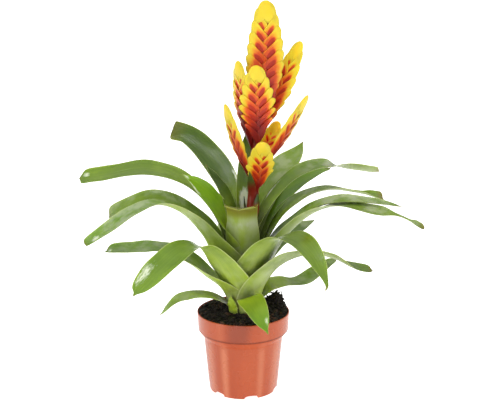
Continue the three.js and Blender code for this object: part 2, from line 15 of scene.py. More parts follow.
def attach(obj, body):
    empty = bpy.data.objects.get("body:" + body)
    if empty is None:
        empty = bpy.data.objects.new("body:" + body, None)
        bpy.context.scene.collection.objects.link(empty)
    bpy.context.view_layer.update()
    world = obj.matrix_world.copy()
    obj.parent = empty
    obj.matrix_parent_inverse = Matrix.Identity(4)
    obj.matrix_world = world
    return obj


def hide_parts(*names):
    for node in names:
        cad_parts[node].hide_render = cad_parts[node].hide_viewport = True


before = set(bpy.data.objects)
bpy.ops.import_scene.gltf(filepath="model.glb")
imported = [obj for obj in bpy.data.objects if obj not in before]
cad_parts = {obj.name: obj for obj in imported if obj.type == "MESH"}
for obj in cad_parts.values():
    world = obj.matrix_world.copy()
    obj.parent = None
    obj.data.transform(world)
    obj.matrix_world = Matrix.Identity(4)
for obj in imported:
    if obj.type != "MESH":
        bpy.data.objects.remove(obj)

MM = 0.001
LOG = logging.getLogger("bromeliad")
Knots = Sequence[Sequence[float]]


# ---------------------------------------------------------------- number helpers


def smoothstep(low: float, high: float, x: np.ndarray) -> np.ndarray:
    """Eased step from 0 at low to 1 at high.

    Args:
        low: Where the step starts.
        high: Where the step ends.
        x: Values to ease.

    Returns:
        The eased values.
    """
    t = np.clip((np.asarray(x, float) - low) / (high - low), 0, 1)
    return t * t * (3 - 2 * t)


def monotone(knots: Knots, x: np.ndarray) -> np.ndarray:
    """Smooth line through knots that never overshoots them.

    Args:
        knots: Pairs of position and value, in rising position.
        x: Positions to read the line at; it is flat beyond its ends.

    Returns:
        The values at x.
    """
    kx, ky = np.array(knots, float).T
    gap = np.diff(kx)
    rise = np.diff(ky) / gap
    slope = np.zeros(len(kx))
    for i in range(1, len(kx) - 1):
        if rise[i - 1] * rise[i] > 0:
            a, b = 2 * gap[i] + gap[i - 1], gap[i] + 2 * gap[i - 1]
            slope[i] = (a + b) / (a / rise[i - 1] + b / rise[i])
    slope[0], slope[-1] = rise[0], rise[-1]
    x = np.clip(np.asarray(x, float), kx[0], kx[-1])
    k = np.clip(np.searchsorted(kx, x, side="right") - 1, 0, len(gap) - 1)
    t = (x - kx[k]) / gap[k]
    return (
        (2 * t**3 - 3 * t**2 + 1) * ky[k]
        + (t**3 - 2 * t**2 + t) * gap[k] * slope[k]
        + (3 * t**2 - 2 * t**3) * ky[k + 1]
        + (t**3 - t**2) * gap[k] * slope[k + 1]
    )


def curves(rows: Knots, x: np.ndarray) -> np.ndarray:
    """Several such lines at once.

    Args:
        rows: Rows of a position and one value for each line, in rising position.
        x: Positions to read the lines at.

    Returns:
        One row for each position, with one value for each line.
    """
    places, *columns = zip(*rows)
    return np.stack([monotone(list(zip(places, column)), x) for column in columns], axis=1)


def polar(azimuth: float, reach: float, height: float) -> np.ndarray:
    """Point at an azimuth in degrees, a reach from the axis and a height."""
    angle = math.radians(azimuth)
    return np.array([reach * math.cos(angle), reach * math.sin(angle), height])


def around(count: int) -> np.ndarray:
    """Angles of a whole turn, in equal steps."""
    return np.linspace(0, 2 * math.pi, count, endpoint=False)


def ring(angles: np.ndarray, radius: np.ndarray | float, height: np.ndarray | float) -> np.ndarray:
    """Points round the pot's axis.

    Args:
        angles: Their angles in radians.
        radius: Their distance from the axis, one or one for each.
        height: Their height, one or one for each.

    Returns:
        One point a row.
    """
    columns = np.broadcast_arrays(radius * np.cos(angles), radius * np.sin(angles), height)
    return np.stack(columns, axis=1)


def unit(vectors: np.ndarray) -> np.ndarray:
    """Vectors at unit length."""
    return vectors / np.linalg.norm(vectors, axis=-1, keepdims=True)


def turned_about(vectors: np.ndarray, axes: np.ndarray, angles: np.ndarray) -> np.ndarray:
    """Vectors that are square to their axes, turned about them.

    Args:
        vectors: One vector a row.
        axes: One unit axis a row.
        angles: One angle a row, in radians.

    Returns:
        The turned vectors.
    """
    c, s = np.cos(angles)[:, None], np.sin(angles)[:, None]
    return vectors * c + np.cross(axes, vectors) * s


def grain(points: np.ndarray, scale: float, octaves: int = 3) -> np.ndarray:
    """Layered smooth noise at points.

    Args:
        points: One point a row.
        scale: Lumps for each unit of length.
        octaves: How many finer layers are added.

    Returns:
        Values from about -1 to 1.
    """
    return np.array([noise.fractal(Vector(p) * scale, 1.0, 2.0, octaves) for p in points])


@dataclass
class Midline:
    """Smooth curve through points, with its ends let free."""

    points: np.ndarray
    steps: int = 220
    places: np.ndarray = field(init=False)
    tangents: np.ndarray = field(init=False)
    travelled: np.ndarray = field(init=False)

    def __post_init__(self) -> None:
        """Samples the curve."""
        t = np.linspace(0, 1, self.steps + 1)
        self.places = self.at(t)
        ahead, behind = (self.at(np.clip(t + d, 0, 1)) for d in (1e-4, -1e-4))
        self.tangents = unit(ahead - behind)
        stride = np.linalg.norm(np.diff(self.places, axis=0), axis=1)
        self.travelled = np.concatenate([[0], np.cumsum(stride)])

    def at(self, t: np.ndarray) -> np.ndarray:
        """Points at shares of the knots' count.

        Args:
            t: Shares from 0 to 1.

        Returns:
            One point a row.
        """
        p = self.points
        whole = np.concatenate([[2 * p[0] - p[1]], p, [2 * p[-1] - p[-2]]])
        place = t * (len(p) - 1)
        i = np.minimum(place.astype(int), len(p) - 2)
        w = (place - i)[:, None]
        a, b, c, d = whole[i], whole[i + 1], whole[i + 2], whole[i + 3]
        lead, trail = 0.5 * (c - a), 0.5 * (d - b)
        square, cube = 3 * (c - b) - 2 * lead - trail, 2 * (b - c) + lead + trail
        return b + lead * w + square * w**2 + cube * w**3

    def read(self, table: np.ndarray, run: np.ndarray) -> np.ndarray:
        """Reads a table that has one row for each sample.

        Args:
            table: The rows.
            run: Distances along the curve.

        Returns:
            One row for each distance.
        """
        return np.stack([np.interp(run, self.travelled, column) for column in table.T], axis=1)


# ---------------------------------------------------------------- mesh helpers


@dataclass
class Skin:
    """Mesh under construction, in millimetres, with its painted values."""

    vertices: list[np.ndarray] = field(default_factory=list)
    faces: list[list[int]] = field(default_factory=list)
    values: dict[str, list[np.ndarray]] = field(default_factory=dict)
    count: int = 0

    def add(self, points: np.ndarray, faces: Iterable[Sequence[int]], **values: object) -> None:
        """Adds a piece.

        Args:
            points: One vertex a row.
            faces: Corner numbers within the piece.
            **values: For each painted value, one number or one for each vertex.
        """
        self.vertices.append(points)
        self.faces.extend([[i + self.count for i in f] for f in faces])
        for name, value in values.items():
            self.values.setdefault(name, []).append(np.broadcast_to(np.asarray(value, float), len(points)))
        self.count += len(points)

    def add_rings(self, rings: np.ndarray, **values: object) -> None:
        """Adds a closed tube through rings, capped at both ends.

        Args:
            rings: Rings by points by 3.
            **values: For each painted value, one number or rings by points.
        """
        count, size = rings.shape[:2]
        i = np.arange(count - 1)[:, None] * size
        j = np.arange(size)[None, :]
        k = (j + 1) % size
        quads = np.stack([i + j, i + k, i + size + k, i + size + j], axis=-1).reshape(-1, 4)
        caps = [list(range(size))[::-1], list(range((count - 1) * size, count * size))]
        flat = {name: np.broadcast_to(np.asarray(v, float), (count, size)).reshape(-1) for name, v in values.items()}
        self.add(rings.reshape(-1, 3), quads.tolist() + caps, **flat)

    def build(self, name: str, outward: bool = True) -> bpy.types.Object:
        """Makes the object.

        Args:
            name: The piece's name.
            outward: Whether the faces are first turned to look outward.

        Returns:
            The new object, with smooth faces.
        """
        mesh = bpy.data.meshes.new(name)
        mesh.from_pydata((np.concatenate(self.vertices) * MM).tolist(), [], self.faces)
        for key, parts in self.values.items():
            layer = mesh.attributes.new(key, "FLOAT", "POINT")
            layer.data.foreach_set("value", np.concatenate(parts).astype(np.float32))
        if outward:
            work = bmesh.new()
            work.from_mesh(mesh)
            bmesh.ops.recalc_face_normals(work, faces=work.faces)
            work.to_mesh(mesh)
            work.free()
        mesh.shade_smooth()
        mesh.update()
        piece = bpy.data.objects.new(name, mesh)
        bpy.context.scene.collection.objects.link(piece)
        return piece


def seat(piece: bpy.types.Object, material: bpy.types.Material, slot: str, *nodes: str) -> bpy.types.Object:
    """Dresses a piece, fixes it to the plant and lets it stand for solids of the frame.

    Args:
        piece: The object.
        material: Its finish.
        slot: The finish's name; not used.
        *nodes: The solids that it stands for.

    Returns:
        The object.
    """
    piece.data.materials.append(material)
    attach(piece, "root")
    if nodes:
        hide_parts(*nodes)
    LOG.info("%s: %d faces", piece.name, len(piece.data.polygons))
    return piece


def convex_faces(corners: np.ndarray) -> list[list[int]]:
    """Faces of the convex hull of corners.

    Args:
        corners: One corner a row.

    Returns:
        Corner numbers for each face.
    """
    work = bmesh.new()
    made = [work.verts.new(c) for c in corners]
    work.verts.index_update()
    bmesh.ops.convex_hull(work, input=made)
    work.faces.ensure_lookup_table()
    faces = [[v.index for v in f.verts] for f in work.faces]
    work.free()
    return faces


def tube(skin: Skin, points: np.ndarray, radii: np.ndarray, sides: int, **values: object) -> None:
    """Adds a round rod along points.

    Args:
        skin: The mesh that it joins.
        points: Its centreline.
        radii: Its radius at each point.
        sides: How many sides it has.
        **values: Painted values.
    """
    tangents = unit(np.gradient(points, axis=0))
    helper = np.array([0.0, 0.0, 1.0]) if abs(tangents[0][2]) < 0.8 else np.array([1.0, 0.0, 0.0])
    first = unit(np.cross(tangents, helper))
    second = np.cross(tangents, first)
    angles, radii = around(sides)[None, :, None], radii[:, None, None]
    rings = points[:, None] + radii * np.cos(angles) * first[:, None] + radii * np.sin(angles) * second[:, None]
    skin.add_rings(rings, **values)


# ---------------------------------------------------------------- finishes


Socket = bpy.types.NodeSocket
Tint = tuple[float, float, float, float]


def colour(code: str) -> Tint:
    """Linear colour of a web colour code.

    Args:
        code: A code such as #a0b0c0.

    Returns:
        Red, green, blue and full opacity.
    """
    parts = [int(code[i : i + 2], 16) / 255 for i in (1, 3, 5)]
    linear = [c / 12.92 if c <= 0.04045 else ((c + 0.055) / 1.055) ** 2.4 for c in parts]
    return (*linear, 1.0)


@dataclass(frozen=True)
class Value:
    """A number in a finish's node graph, which takes plain arithmetic."""

    paint: "Paint"
    socket: Socket

    def __add__(self, other: "Number") -> "Value":
        """Both, added."""
        return self.paint.sum("ADD", self, other)

    __radd__ = __add__

    def __sub__(self, other: "Number") -> "Value":
        """This less the other."""
        return self.paint.sum("SUBTRACT", self, other)

    def __rsub__(self, other: "Number") -> "Value":
        """The other less this."""
        return self.paint.sum("SUBTRACT", other, self)

    def __mul__(self, other: "Number") -> "Value":
        """Both, multiplied."""
        return self.paint.sum("MULTIPLY", self, other)

    def __truediv__(self, other: "Number") -> "Value":
        """This divided by the other."""
        return self.paint.sum("DIVIDE", self, other)

    def __abs__(self) -> "Value":
        """This without its sign."""
        return self.paint.sum("ABSOLUTE", self)

    def squared(self) -> "Value":
        """This times itself."""
        return self.paint.sum("POWER", abs(self), 2.0)

    def least(self, other: "Number") -> "Value":
        """The smaller of both."""
        return self.paint.sum("MINIMUM", self, other)

    def most(self, other: "Number") -> "Value":
        """The greater of both."""
        return self.paint.sum("MAXIMUM", self, other)

    def step(self, low: float, high: float, first: float = 0.0, last: float = 1.0) -> "Value":
        """Eased step of this value.

        Args:
            low: Where the step starts.
            high: Where it ends; it may lie below the start.
            first: Result before it.
            last: Result after it.

        Returns:
            The result.
        """
        given = {"Value": self, "From Min": low, "From Max": high, "To Min": first, "To Max": last}
        node = self.paint.node("MapRange", given, interpolation_type="SMOOTHSTEP")
        return Value(self.paint, node.outputs[0])


Number = Value | float
Paintable = Socket | Tint | str


class Paint:
    """Node graph of one finish under construction."""

    def __init__(self, name: str) -> None:
        """Starts an empty graph.

        Args:
            name: The finish's name.
        """
        self.material = bpy.data.materials.new(name)
        self.material.use_nodes = True
        self.nodes = self.material.node_tree.nodes
        self.links = self.material.node_tree.links
        self.shader = self.nodes["Principled BSDF"]

    def feed(self, node: bpy.types.Node, given: dict[int | str, object]) -> None:
        """Sets a node's inputs, or links them to what gives their values.

        Args:
            node: The node.
            given: For each input's number or name, a value of the graph, a socket, a web colour or plain numbers.
        """
        for key, value in given.items():
            source = value.socket if isinstance(value, Value) else colour(value) if isinstance(value, str) else value
            if isinstance(source, bpy.types.NodeSocket):
                self.links.new(source, node.inputs[key])
            else:
                node.inputs[key].default_value = source

    def node(self, kind: str, given: dict[int | str, object], **settings: object) -> bpy.types.Node:
        """Adds a node.

        Args:
            kind: Its kind, such as Math.
            given: What its inputs take.
            **settings: Its own settings, by name.

        Returns:
            The node.
        """
        node = self.nodes.new("ShaderNode" + kind)
        for name, setting in settings.items():
            setattr(node, name, setting)
        self.feed(node, given)
        return node

    def painted(self, name: str) -> Value:
        """The value of that name that is painted on the mesh."""
        return Value(self, self.node("Attribute", {}, attribute_name=name).outputs["Fac"])

    def sum(self, kind: str, *numbers: Number, clamp: bool = False) -> Value:
        """Result of an operation such as MULTIPLY, kept between 0 and 1 if it has a clamp."""
        return Value(self, self.node("Math", dict(enumerate(numbers)), operation=kind, use_clamp=clamp).outputs[0])

    def mix(self, share: Number, a: Paintable, b: Paintable, kind: str = "MIX") -> Socket:
        """Mix of two colours, with this share of the second."""
        return self.node("Mix", {0: share, 6: a, 7: b}, data_type="RGBA", blend_type=kind).outputs[2]

    def tinted(self, base: Socket, strength: float, where: Value, tints: tuple[Tint, Tint]) -> Socket:
        """A colour times tints: the first where the value is 0 and the second where it is 1."""
        return self.mix(strength, base, self.mix(where, *tints), "MULTIPLY")

    def ramp(self, share: Value, stops: Sequence[tuple[float, str]]) -> Socket:
        """Colour that runs through stops.

        Args:
            share: Place along the stops.
            stops: Pairs of place and web colour, at least two.

        Returns:
            The colour's socket.
        """
        node = self.node("ValToRGB", {0: share})
        marks = node.color_ramp.elements
        for k, (place, code) in enumerate(stops):
            mark = marks[k] if k < 2 else marks.new(place)
            mark.position, mark.color = place, colour(code)
        return node.outputs[0]

    def place(self, stretch: tuple[float, float, float] = (1, 1, 1)) -> Socket:
        """Position in the piece in metres, stretched along each axis."""
        spot = self.node("TexCoord", {}).outputs["Object"]
        return self.node("Mapping", {"Vector": spot, "Scale": stretch}).outputs[0]

    def axes(self) -> tuple[Value, ...]:
        """How far right, back and up each place lies, in metres."""
        return tuple(Value(self, part) for part in self.node("SeparateXYZ", {0: self.place()}).outputs)

    def joined(self, *numbers: Number) -> Socket:
        """Vector of up to three numbers."""
        return self.node("CombineXYZ", dict(enumerate(numbers))).outputs[0]

    def clouds(self, scale: float, detail: float, where: Socket) -> Value:
        """Smooth noise from 0 to 1, with so many lumps for each unit of length and so many finer layers."""
        return Value(self, self.node("TexNoise", {"Vector": where, "Scale": scale, "Detail": detail}).outputs[0])

    def relief(self, height: Value, distance: float, strength: float) -> None:
        """Bumps the surface where the height is up to 1, which stands for a distance in metres."""
        bump = self.node("Bump", {"Strength": strength, "Distance": distance, "Height": height})
        self.feed(self.shader, {"Normal": bump.outputs[0]})

    def done(self, base: Socket, roughness: Number, **others: object) -> bpy.types.Material:
        """Closes the graph.

        Args:
            base: The colour.
            roughness: The roughness.
            **others: The shader's other inputs, by name with _ for spaces.

        Returns:
            The finished material.
        """
        self.feed(self.shader, {"Base Color": base, "Roughness": roughness})
        self.feed(self.shader, {name.replace("_", " "): value for name, value in others.items()})
        return self.material


@dataclass(frozen=True)
class LeafFinish:
    """Glossy leathery leaf: a pale sheath, a green blade, a greyer underside."""

    upper: tuple[tuple[float, str], ...] = ((0.0, "#6c9518"), (0.5, "#6c8722"), (1.0, "#3c5612"))
    under: tuple[tuple[float, str], ...] = ((0.0, "#8aa034"), (0.5, "#7a8d36"), (1.0, "#546826"))
    sheath: str = "#7f8e37"
    base: str = "#7d6f3e"
    fresh: str = "#97b01e"
    margin: str = "#b3ba7c"
    scorched: str = "#765c26"
    # colour of the pale scales and of the painted sheen
    scurf_and_sheen: str = "#b9bea2"
    # colour of the painted highlights
    shine: str = "#e9edda"
    shades: tuple[Tint, Tint] = ((0.8, 0.84, 0.78, 1), (1.16, 1.12, 1.1, 1))
    lines: tuple[Tint, Tint] = ((0.86, 0.9, 0.82, 1), (1.12, 1.08, 1.12, 1))
    sheath_end: float = 90.0
    raggedness: float = 50.0
    vein_height: float = 0.0008
    glow_through: tuple[float, float, float] = (0.9, 1.0, 0.25)

    def lengthwise(self, p: Paint, across: float, along: float, detail: float) -> Value:
        """Noise drawn out along the blade, different on each leaf.

        Args:
            p: The graph.
            across: How many streaks the half width holds.
            along: How many times it changes in a millimetre of length.
            detail: How many finer layers it has.

        Returns:
            The noise.
        """
        where = p.joined(p.painted("side") * across, p.painted("run") * along, p.painted("tone"))
        return p.clouds(1.0, detail, where)

    def greens(self, p: Paint, cloud: Value, streaks: Value) -> Socket:
        """Colour of a sound leaf: brownish at the peat, pale on the sheath, green on the blade.

        Args:
            p: The graph.
            cloud: Soft noise over the leaf.
            streaks: Noise drawn out along it.

        Returns:
            The colour's socket.
        """
        tone = p.painted("tone")
        reach = p.painted("run") + (cloud - 0.5) * self.raggedness
        blade = p.mix(p.painted("face"), p.ramp(tone, self.under), p.ramp(tone, self.upper))
        blade = p.mix(reach.step(25.0, self.sheath_end), self.sheath, blade)
        # browner at each leaf's foot, low down near the peat
        browner_near_peat = reach.step(26.0, 4.0) * p.axes()[2].step(0.17, 0.13, 0.0, 0.7)
        blade = p.mix(browner_near_peat, blade, self.base)
        blade = p.tinted(blade, 0.8, cloud.step(0.35, 0.65), self.shades)
        blade = p.tinted(blade, 0.8, streaks.step(0.3, 0.7), self.lines)
        young = cloud.step(0.4, 0.62, 0.0, 0.5) * reach.step(110.0, 50.0)
        young = young.most(tone.step(0.12, 0.04, 0.0, 0.75) * reach.step(70.0, 40.0))
        return p.mix(young, blade, self.fresh)

    def weathering_and_painted_light(self, p: Paint, blade: Socket, cloud: Value) -> Socket:
        """Lays pale scales and painted sheen, margin, scorch and painted highlights over the green.

        Args:
            p: The graph.
            blade: The green.
            cloud: Soft noise over the leaf.

        Returns:
            The colour's socket.
        """
        patch = p.clouds(55.0, 4.0, p.place((1, 1, 0.6)))
        # pale scales near the sheath, painted sheen further along the blade
        blade = p.mix(patch.step(0.38, 0.64, 0.1, 1.0) * p.painted("bloom_and_sheen"), blade, self.scurf_and_sheen)
        blade = p.mix(abs(p.painted("side")).step(0.93, 0.99) * 0.7, blade, self.margin)
        blade = p.mix(p.painted("scorch") * cloud.step(0.25, 0.6, 0.6, 1.0), blade, self.scorched)
        # painted highlights: near-white glints where the leaves catch the lights
        glint = p.painted("glint")
        gleam = (glint * 0.7 + self.lengthwise(p, 9.0, 0.16, 3.0)).step(0.75, 1.25) * glint.step(0.08, 0.35)
        return p.mix(gleam * 0.8, blade, self.shine)

    def material(self) -> bpy.types.Material:
        """Makes the material.

        Returns:
            The finished material.
        """
        p = Paint("leaf")
        cloud = p.clouds(22.0, 4.0, p.place())
        streaks = self.lengthwise(p, 9.0, 0.012, 3.0)
        veins = self.lengthwise(p, 34.0, 0.006, 2.0)
        skin = self.weathering_and_painted_light(p, self.greens(p, cloud, streaks), cloud)
        p.relief(veins * 0.35 + cloud, self.vein_height, 0.6)
        rough = p.painted("face").step(0.0, 1.0, 0.32, 0.2) + streaks * 0.1
        return p.done(skin, rough, Specular_IOR_Level=0.36, Subsurface_Weight=0.3, Subsurface_Scale=0.002,
                      Subsurface_Radius=self.glow_through)


@dataclass(frozen=True)
class BractFinish:
    """Waxy bract: red towards the spike's middle and foot, yellow towards its edge and tip."""

    ramp: tuple[tuple[float, str], ...] = (
        (0.0, "#d8bd2c"), (0.2, "#deaa1e"), (0.4, "#dd861b"), (0.6, "#d15316"), (0.82, "#bf3a12"), (1.0, "#a62710"),
    )
    # painted shade where each bract meets the margin of the one below
    crease_shade: str = "#9a2412"
    foot: str = "#7a1512"
    streaks: tuple[Tint, Tint] = ((0.85, 0.82, 0.8, 1), (1.12, 1.12, 1.1, 1))
    # painted light: lifts spikes that sit in the other spikes' shade
    painted_light_tint: Tint = (2.1, 2.1, 1.5, 1)
    oval_at: tuple[float, float] = (0.33, 0.82)
    oval_size: tuple[float, float] = (0.32, 0.38)
    ridge_height: float = 0.0003
    glow_through: tuple[float, float, float] = (1.0, 0.6, 0.15)

    def redness(self, p: Paint, level: Value, oval: Value, fuzz: Value) -> Value:
        """How red each place is.

        Args:
            p: The graph.
            level: How high it is on the spike, with its blots.
            oval: How far it is from the middle of the bract's red mark.
            fuzz: Fine noise about 0.

        Returns:
            The redness, from 0 to 1.
        """
        wide = p.painted("out") + fuzz * 0.4 - level.step(0.72, 0.18, 0.0, 0.44)
        red = wide.step(0.84, 0.26) * (level.step(0.86, 0.64, 0.0, 0.68) + level.step(0.62, 0.3, 0.0, 0.24))
        red = red - p.painted("above").step(0.46, 0.06) * level.step(0.4, 0.7, 0.0, 0.24)
        red = red + oval.step(1.1, 0.3) * level.step(0.9, 0.78) * 0.5
        return p.sum("ADD", red, fuzz * 0.16, clamp=True).most(level.step(0.4, 0.22))

    def material(self) -> bpy.types.Material:
        """Makes the material.

        Returns:
            The finished material.
        """
        p = Paint("bract")
        out, above = p.painted("out"), p.painted("above")
        fuzz, blot = (p.clouds(scale, detail, p.place()) - 0.5 for scale, detail in ((110.0, 3.0), (45.0, 2.0)))
        level = p.painted("rise") + p.painted("flush") + blot * 0.14
        off = [(x - at) / size for x, at, size in zip((out, above), self.oval_at, self.oval_size)]
        oval = off[0].squared() + off[1].squared() + fuzz * 0.8
        skin = p.ramp(self.redness(p, level, oval, fuzz), self.ramp)
        # painted shade where the bract meets the lower bract's margin
        skin = p.mix(oval.step(0.8, 0.0) * level.step(0.9, 0.78) * 0.14, skin, self.crease_shade)
        skin = p.mix((level + out * 0.25).step(0.55, 0.28), skin, self.foot)
        streak = p.clouds(1.0, 2.0, p.joined(out * 26.0, above * 3.0))
        skin = p.tinted(skin, 0.5, streak, self.streaks)
        # painted light on spikes that sit in the other spikes' shade
        skin = p.mix(p.painted("bright"), skin, self.painted_light_tint, "MULTIPLY")
        p.relief(streak, self.ridge_height, 0.5)
        return p.done(skin, streak * 0.1 + 0.34, Specular_IOR_Level=0.28, Subsurface_Weight=0.3,
                      Subsurface_Scale=0.003, Subsurface_Radius=self.glow_through)


@dataclass(frozen=True)
class StalkFinish:
    """Flower stalk: dark red, greener towards its foot, with green bracts."""

    red: str = "#7c1c12"
    green: str = "#6f8030"
    bract: str = "#3f5220"
    shades: tuple[Tint, Tint] = ((0.8, 0.8, 0.8, 1), (1.15, 1.15, 1.15, 1))
    turns_red: tuple[float, float] = (196.0, 208.0)
    fibre_height: float = 0.0003

    def material(self) -> bpy.types.Material:
        """Makes the material.

        Returns:
            The finished material.
        """
        p = Paint("stalk")
        sheath = p.painted("sheath")
        cloud = p.clouds(60.0, 3.0, p.place((1, 1, 0.3)))
        body = p.mix(p.painted("rise").step(*self.turns_red), self.green, self.red)
        leafy = p.mix((sheath + cloud * 0.3).step(0.95, 0.6), self.bract, self.red)
        skin = p.mix(sheath.step(0.0, 0.05), body, leafy)
        skin = p.tinted(skin, 0.5, cloud, self.shades)
        p.relief(p.clouds(300.0, 2.0, p.place((1, 1, 0.12))), self.fibre_height, 0.4)
        return p.done(skin, cloud * 0.12 + 0.3)


@dataclass(frozen=True)
class StockFinish:
    """Short stem: pale green-brown, with the scars of old leaves."""

    pale: str = "#9aa252"
    brown: str = "#6b5a36"
    scar_height: float = 0.001

    def material(self) -> bpy.types.Material:
        """Makes the material.

        Returns:
            The finished material.
        """
        p = Paint("stock")
        cloud = p.clouds(120.0, 4.0, p.place((1, 1, 2.5)))
        skin = p.mix(cloud.step(0.4, 0.65), self.pale, self.brown)
        p.relief(cloud, self.scar_height, 0.6)
        return p.done(skin, cloud * 0.2 + 0.5)


@dataclass(frozen=True)
class PotFinish:
    """Moulded terracotta-coloured plastic, glossy, with painted highlight stripes, painted shade and scuffs.

    A highlight stripe is an azimuth, a half width and a strength. Heights are in metres above the foot.
    """

    body: str = "#9c3c10"
    light: str = "#a84618"
    # colour of the painted highlight stripes
    pale: str = "#c67856"
    # used for the painted shade and for the scuffs
    deep: str = "#702c16"
    gloss: float = 0.42
    groove: float = 0.0815
    # azimuth of the painted shade on the band's front, in degrees
    band_shade: float = -96.0
    skin_height: float = 0.0004
    # painted highlights: stripes for the side lights' reflections, the two strongest at the front
    highlight_stripes: tuple[tuple[float, float, float], ...] = (
        (-119, 10, 0.6), (-62, 9, 0.45), (-148, 16, 0.4), (-32, 15, 0.4), (20, 9, 0.5), (74, 7, 0.5), (143, 9, 0.5),
    )

    def painted_highlights(self, p: Paint, turn: Value, height: Value) -> Value:
        """Painted highlights: paler stripes down the wall for the side lights' reflections.

        Args:
            p: The graph.
            turn: Azimuth, in degrees.
            height: Height.

        Returns:
            How pale each place is.
        """
        marks = [
            abs(p.sum("WRAP", turn - azimuth, 180.0, -180.0)).step(wide, 0.0, 0.0, strength)
            for azimuth, wide, strength in self.highlight_stripes
        ]
        return sum(marks).least(1.0) * height.step(0.078, 0.06, 0.25, 1.0)

    def painted_shade_and_dark_foot(self, turn: Value, height: Value) -> Value:
        """Painted shade in the groove under the band and on the band's front, and a darker foot.

        Args:
            turn: Azimuth, in degrees.
            height: Height.

        Returns:
            How dark each place is.
        """
        # painted shade on the band's front and in the groove under the band
        band_shade = abs(turn - self.band_shade).step(20.0, 6.0, 0.0, 0.55) * height.step(0.0815, 0.0835)
        foot = height.step(0.0012, 0.0, 0.0, 0.6)
        return abs(height - self.groove).step(0.0022, 0.0008, 0.0, 0.85).most(band_shade.most(foot))

    def material(self) -> bpy.types.Material:
        """Makes the material.

        Returns:
            The finished material.
        """
        p = Paint("pot")
        x, y, height = p.axes()
        turn = p.sum("ARCTAN2", y, x) * (180 / math.pi)
        cloud = p.clouds(16.0, 3.0, p.place((1, 1, 0.25)))
        fine = p.clouds(900.0, 2.0, p.place())
        skin = p.mix(cloud.step(0.35, 0.7), self.body, self.light)
        # painted highlights: pale stripes for the side lights' reflections
        skin = p.mix(self.painted_highlights(p, turn, height), skin, self.pale)
        # painted shade in the groove and on the band, and a darker foot
        skin = p.mix(self.painted_shade_and_dark_foot(turn, height), skin, self.deep)
        skin = p.mix(fine.step(0.62, 0.72) * 0.25, skin, self.deep)
        p.relief(fine * 0.05 + cloud, self.skin_height, 0.3)
        dull_chamfer = height.step(0.0705, 0.0725, 0.0, 0.2) * height.step(0.0835, 0.0825)
        rough = p.clouds(45.0, 4.0, p.place()) * 0.1 + 0.22
        return p.done(skin, rough, Specular_IOR_Level=self.gloss - dull_chamfer)


@dataclass(frozen=True)
class PeatFinish:
    """Damp peat and bark: nearly black, with browner and redder bits."""

    black: str = "#0e0a09"
    brown: str = "#261b16"
    rust: str = "#5a3828"
    crumb_height: float = 0.0016

    def material(self) -> bpy.types.Material:
        """Makes the material.

        Returns:
            The finished material.
        """
        p = Paint("peat")
        bit = p.painted("bit")
        cloud = p.clouds(260.0, 5.0, p.place())
        skin = p.mix(cloud.step(0.35, 0.75), self.black, self.brown)
        skin = p.mix(bit.step(0.75, 0.95), skin, self.brown)
        skin = p.mix(bit.step(0.9, 1.0), skin, self.rust)
        p.relief(cloud, self.crumb_height, 0.9)
        return p.done(skin, cloud * 0.4 + 0.45, Specular_IOR_Level=0.32)


@dataclass(frozen=True)
class StudioFinish:
    """Plain pale paper of the studio floor."""

    paper: str = "#f4f4f3"
    paler: str = "#f8f8f7"
    rough: float = 0.9
    glow: float = 0.9

    def material(self) -> bpy.types.Material:
        """Makes the material.

        Returns:
            The finished material.
        """
        p = Paint("paper")
        tint = p.mix(p.clouds(3.0, 2.0, p.place()), self.paper, self.paler)
        return p.done(tint, self.rough, Emission_Color=(1, 1, 1, 1), Emission_Strength=self.glow)


# ---------------------------------------------------------------- pot


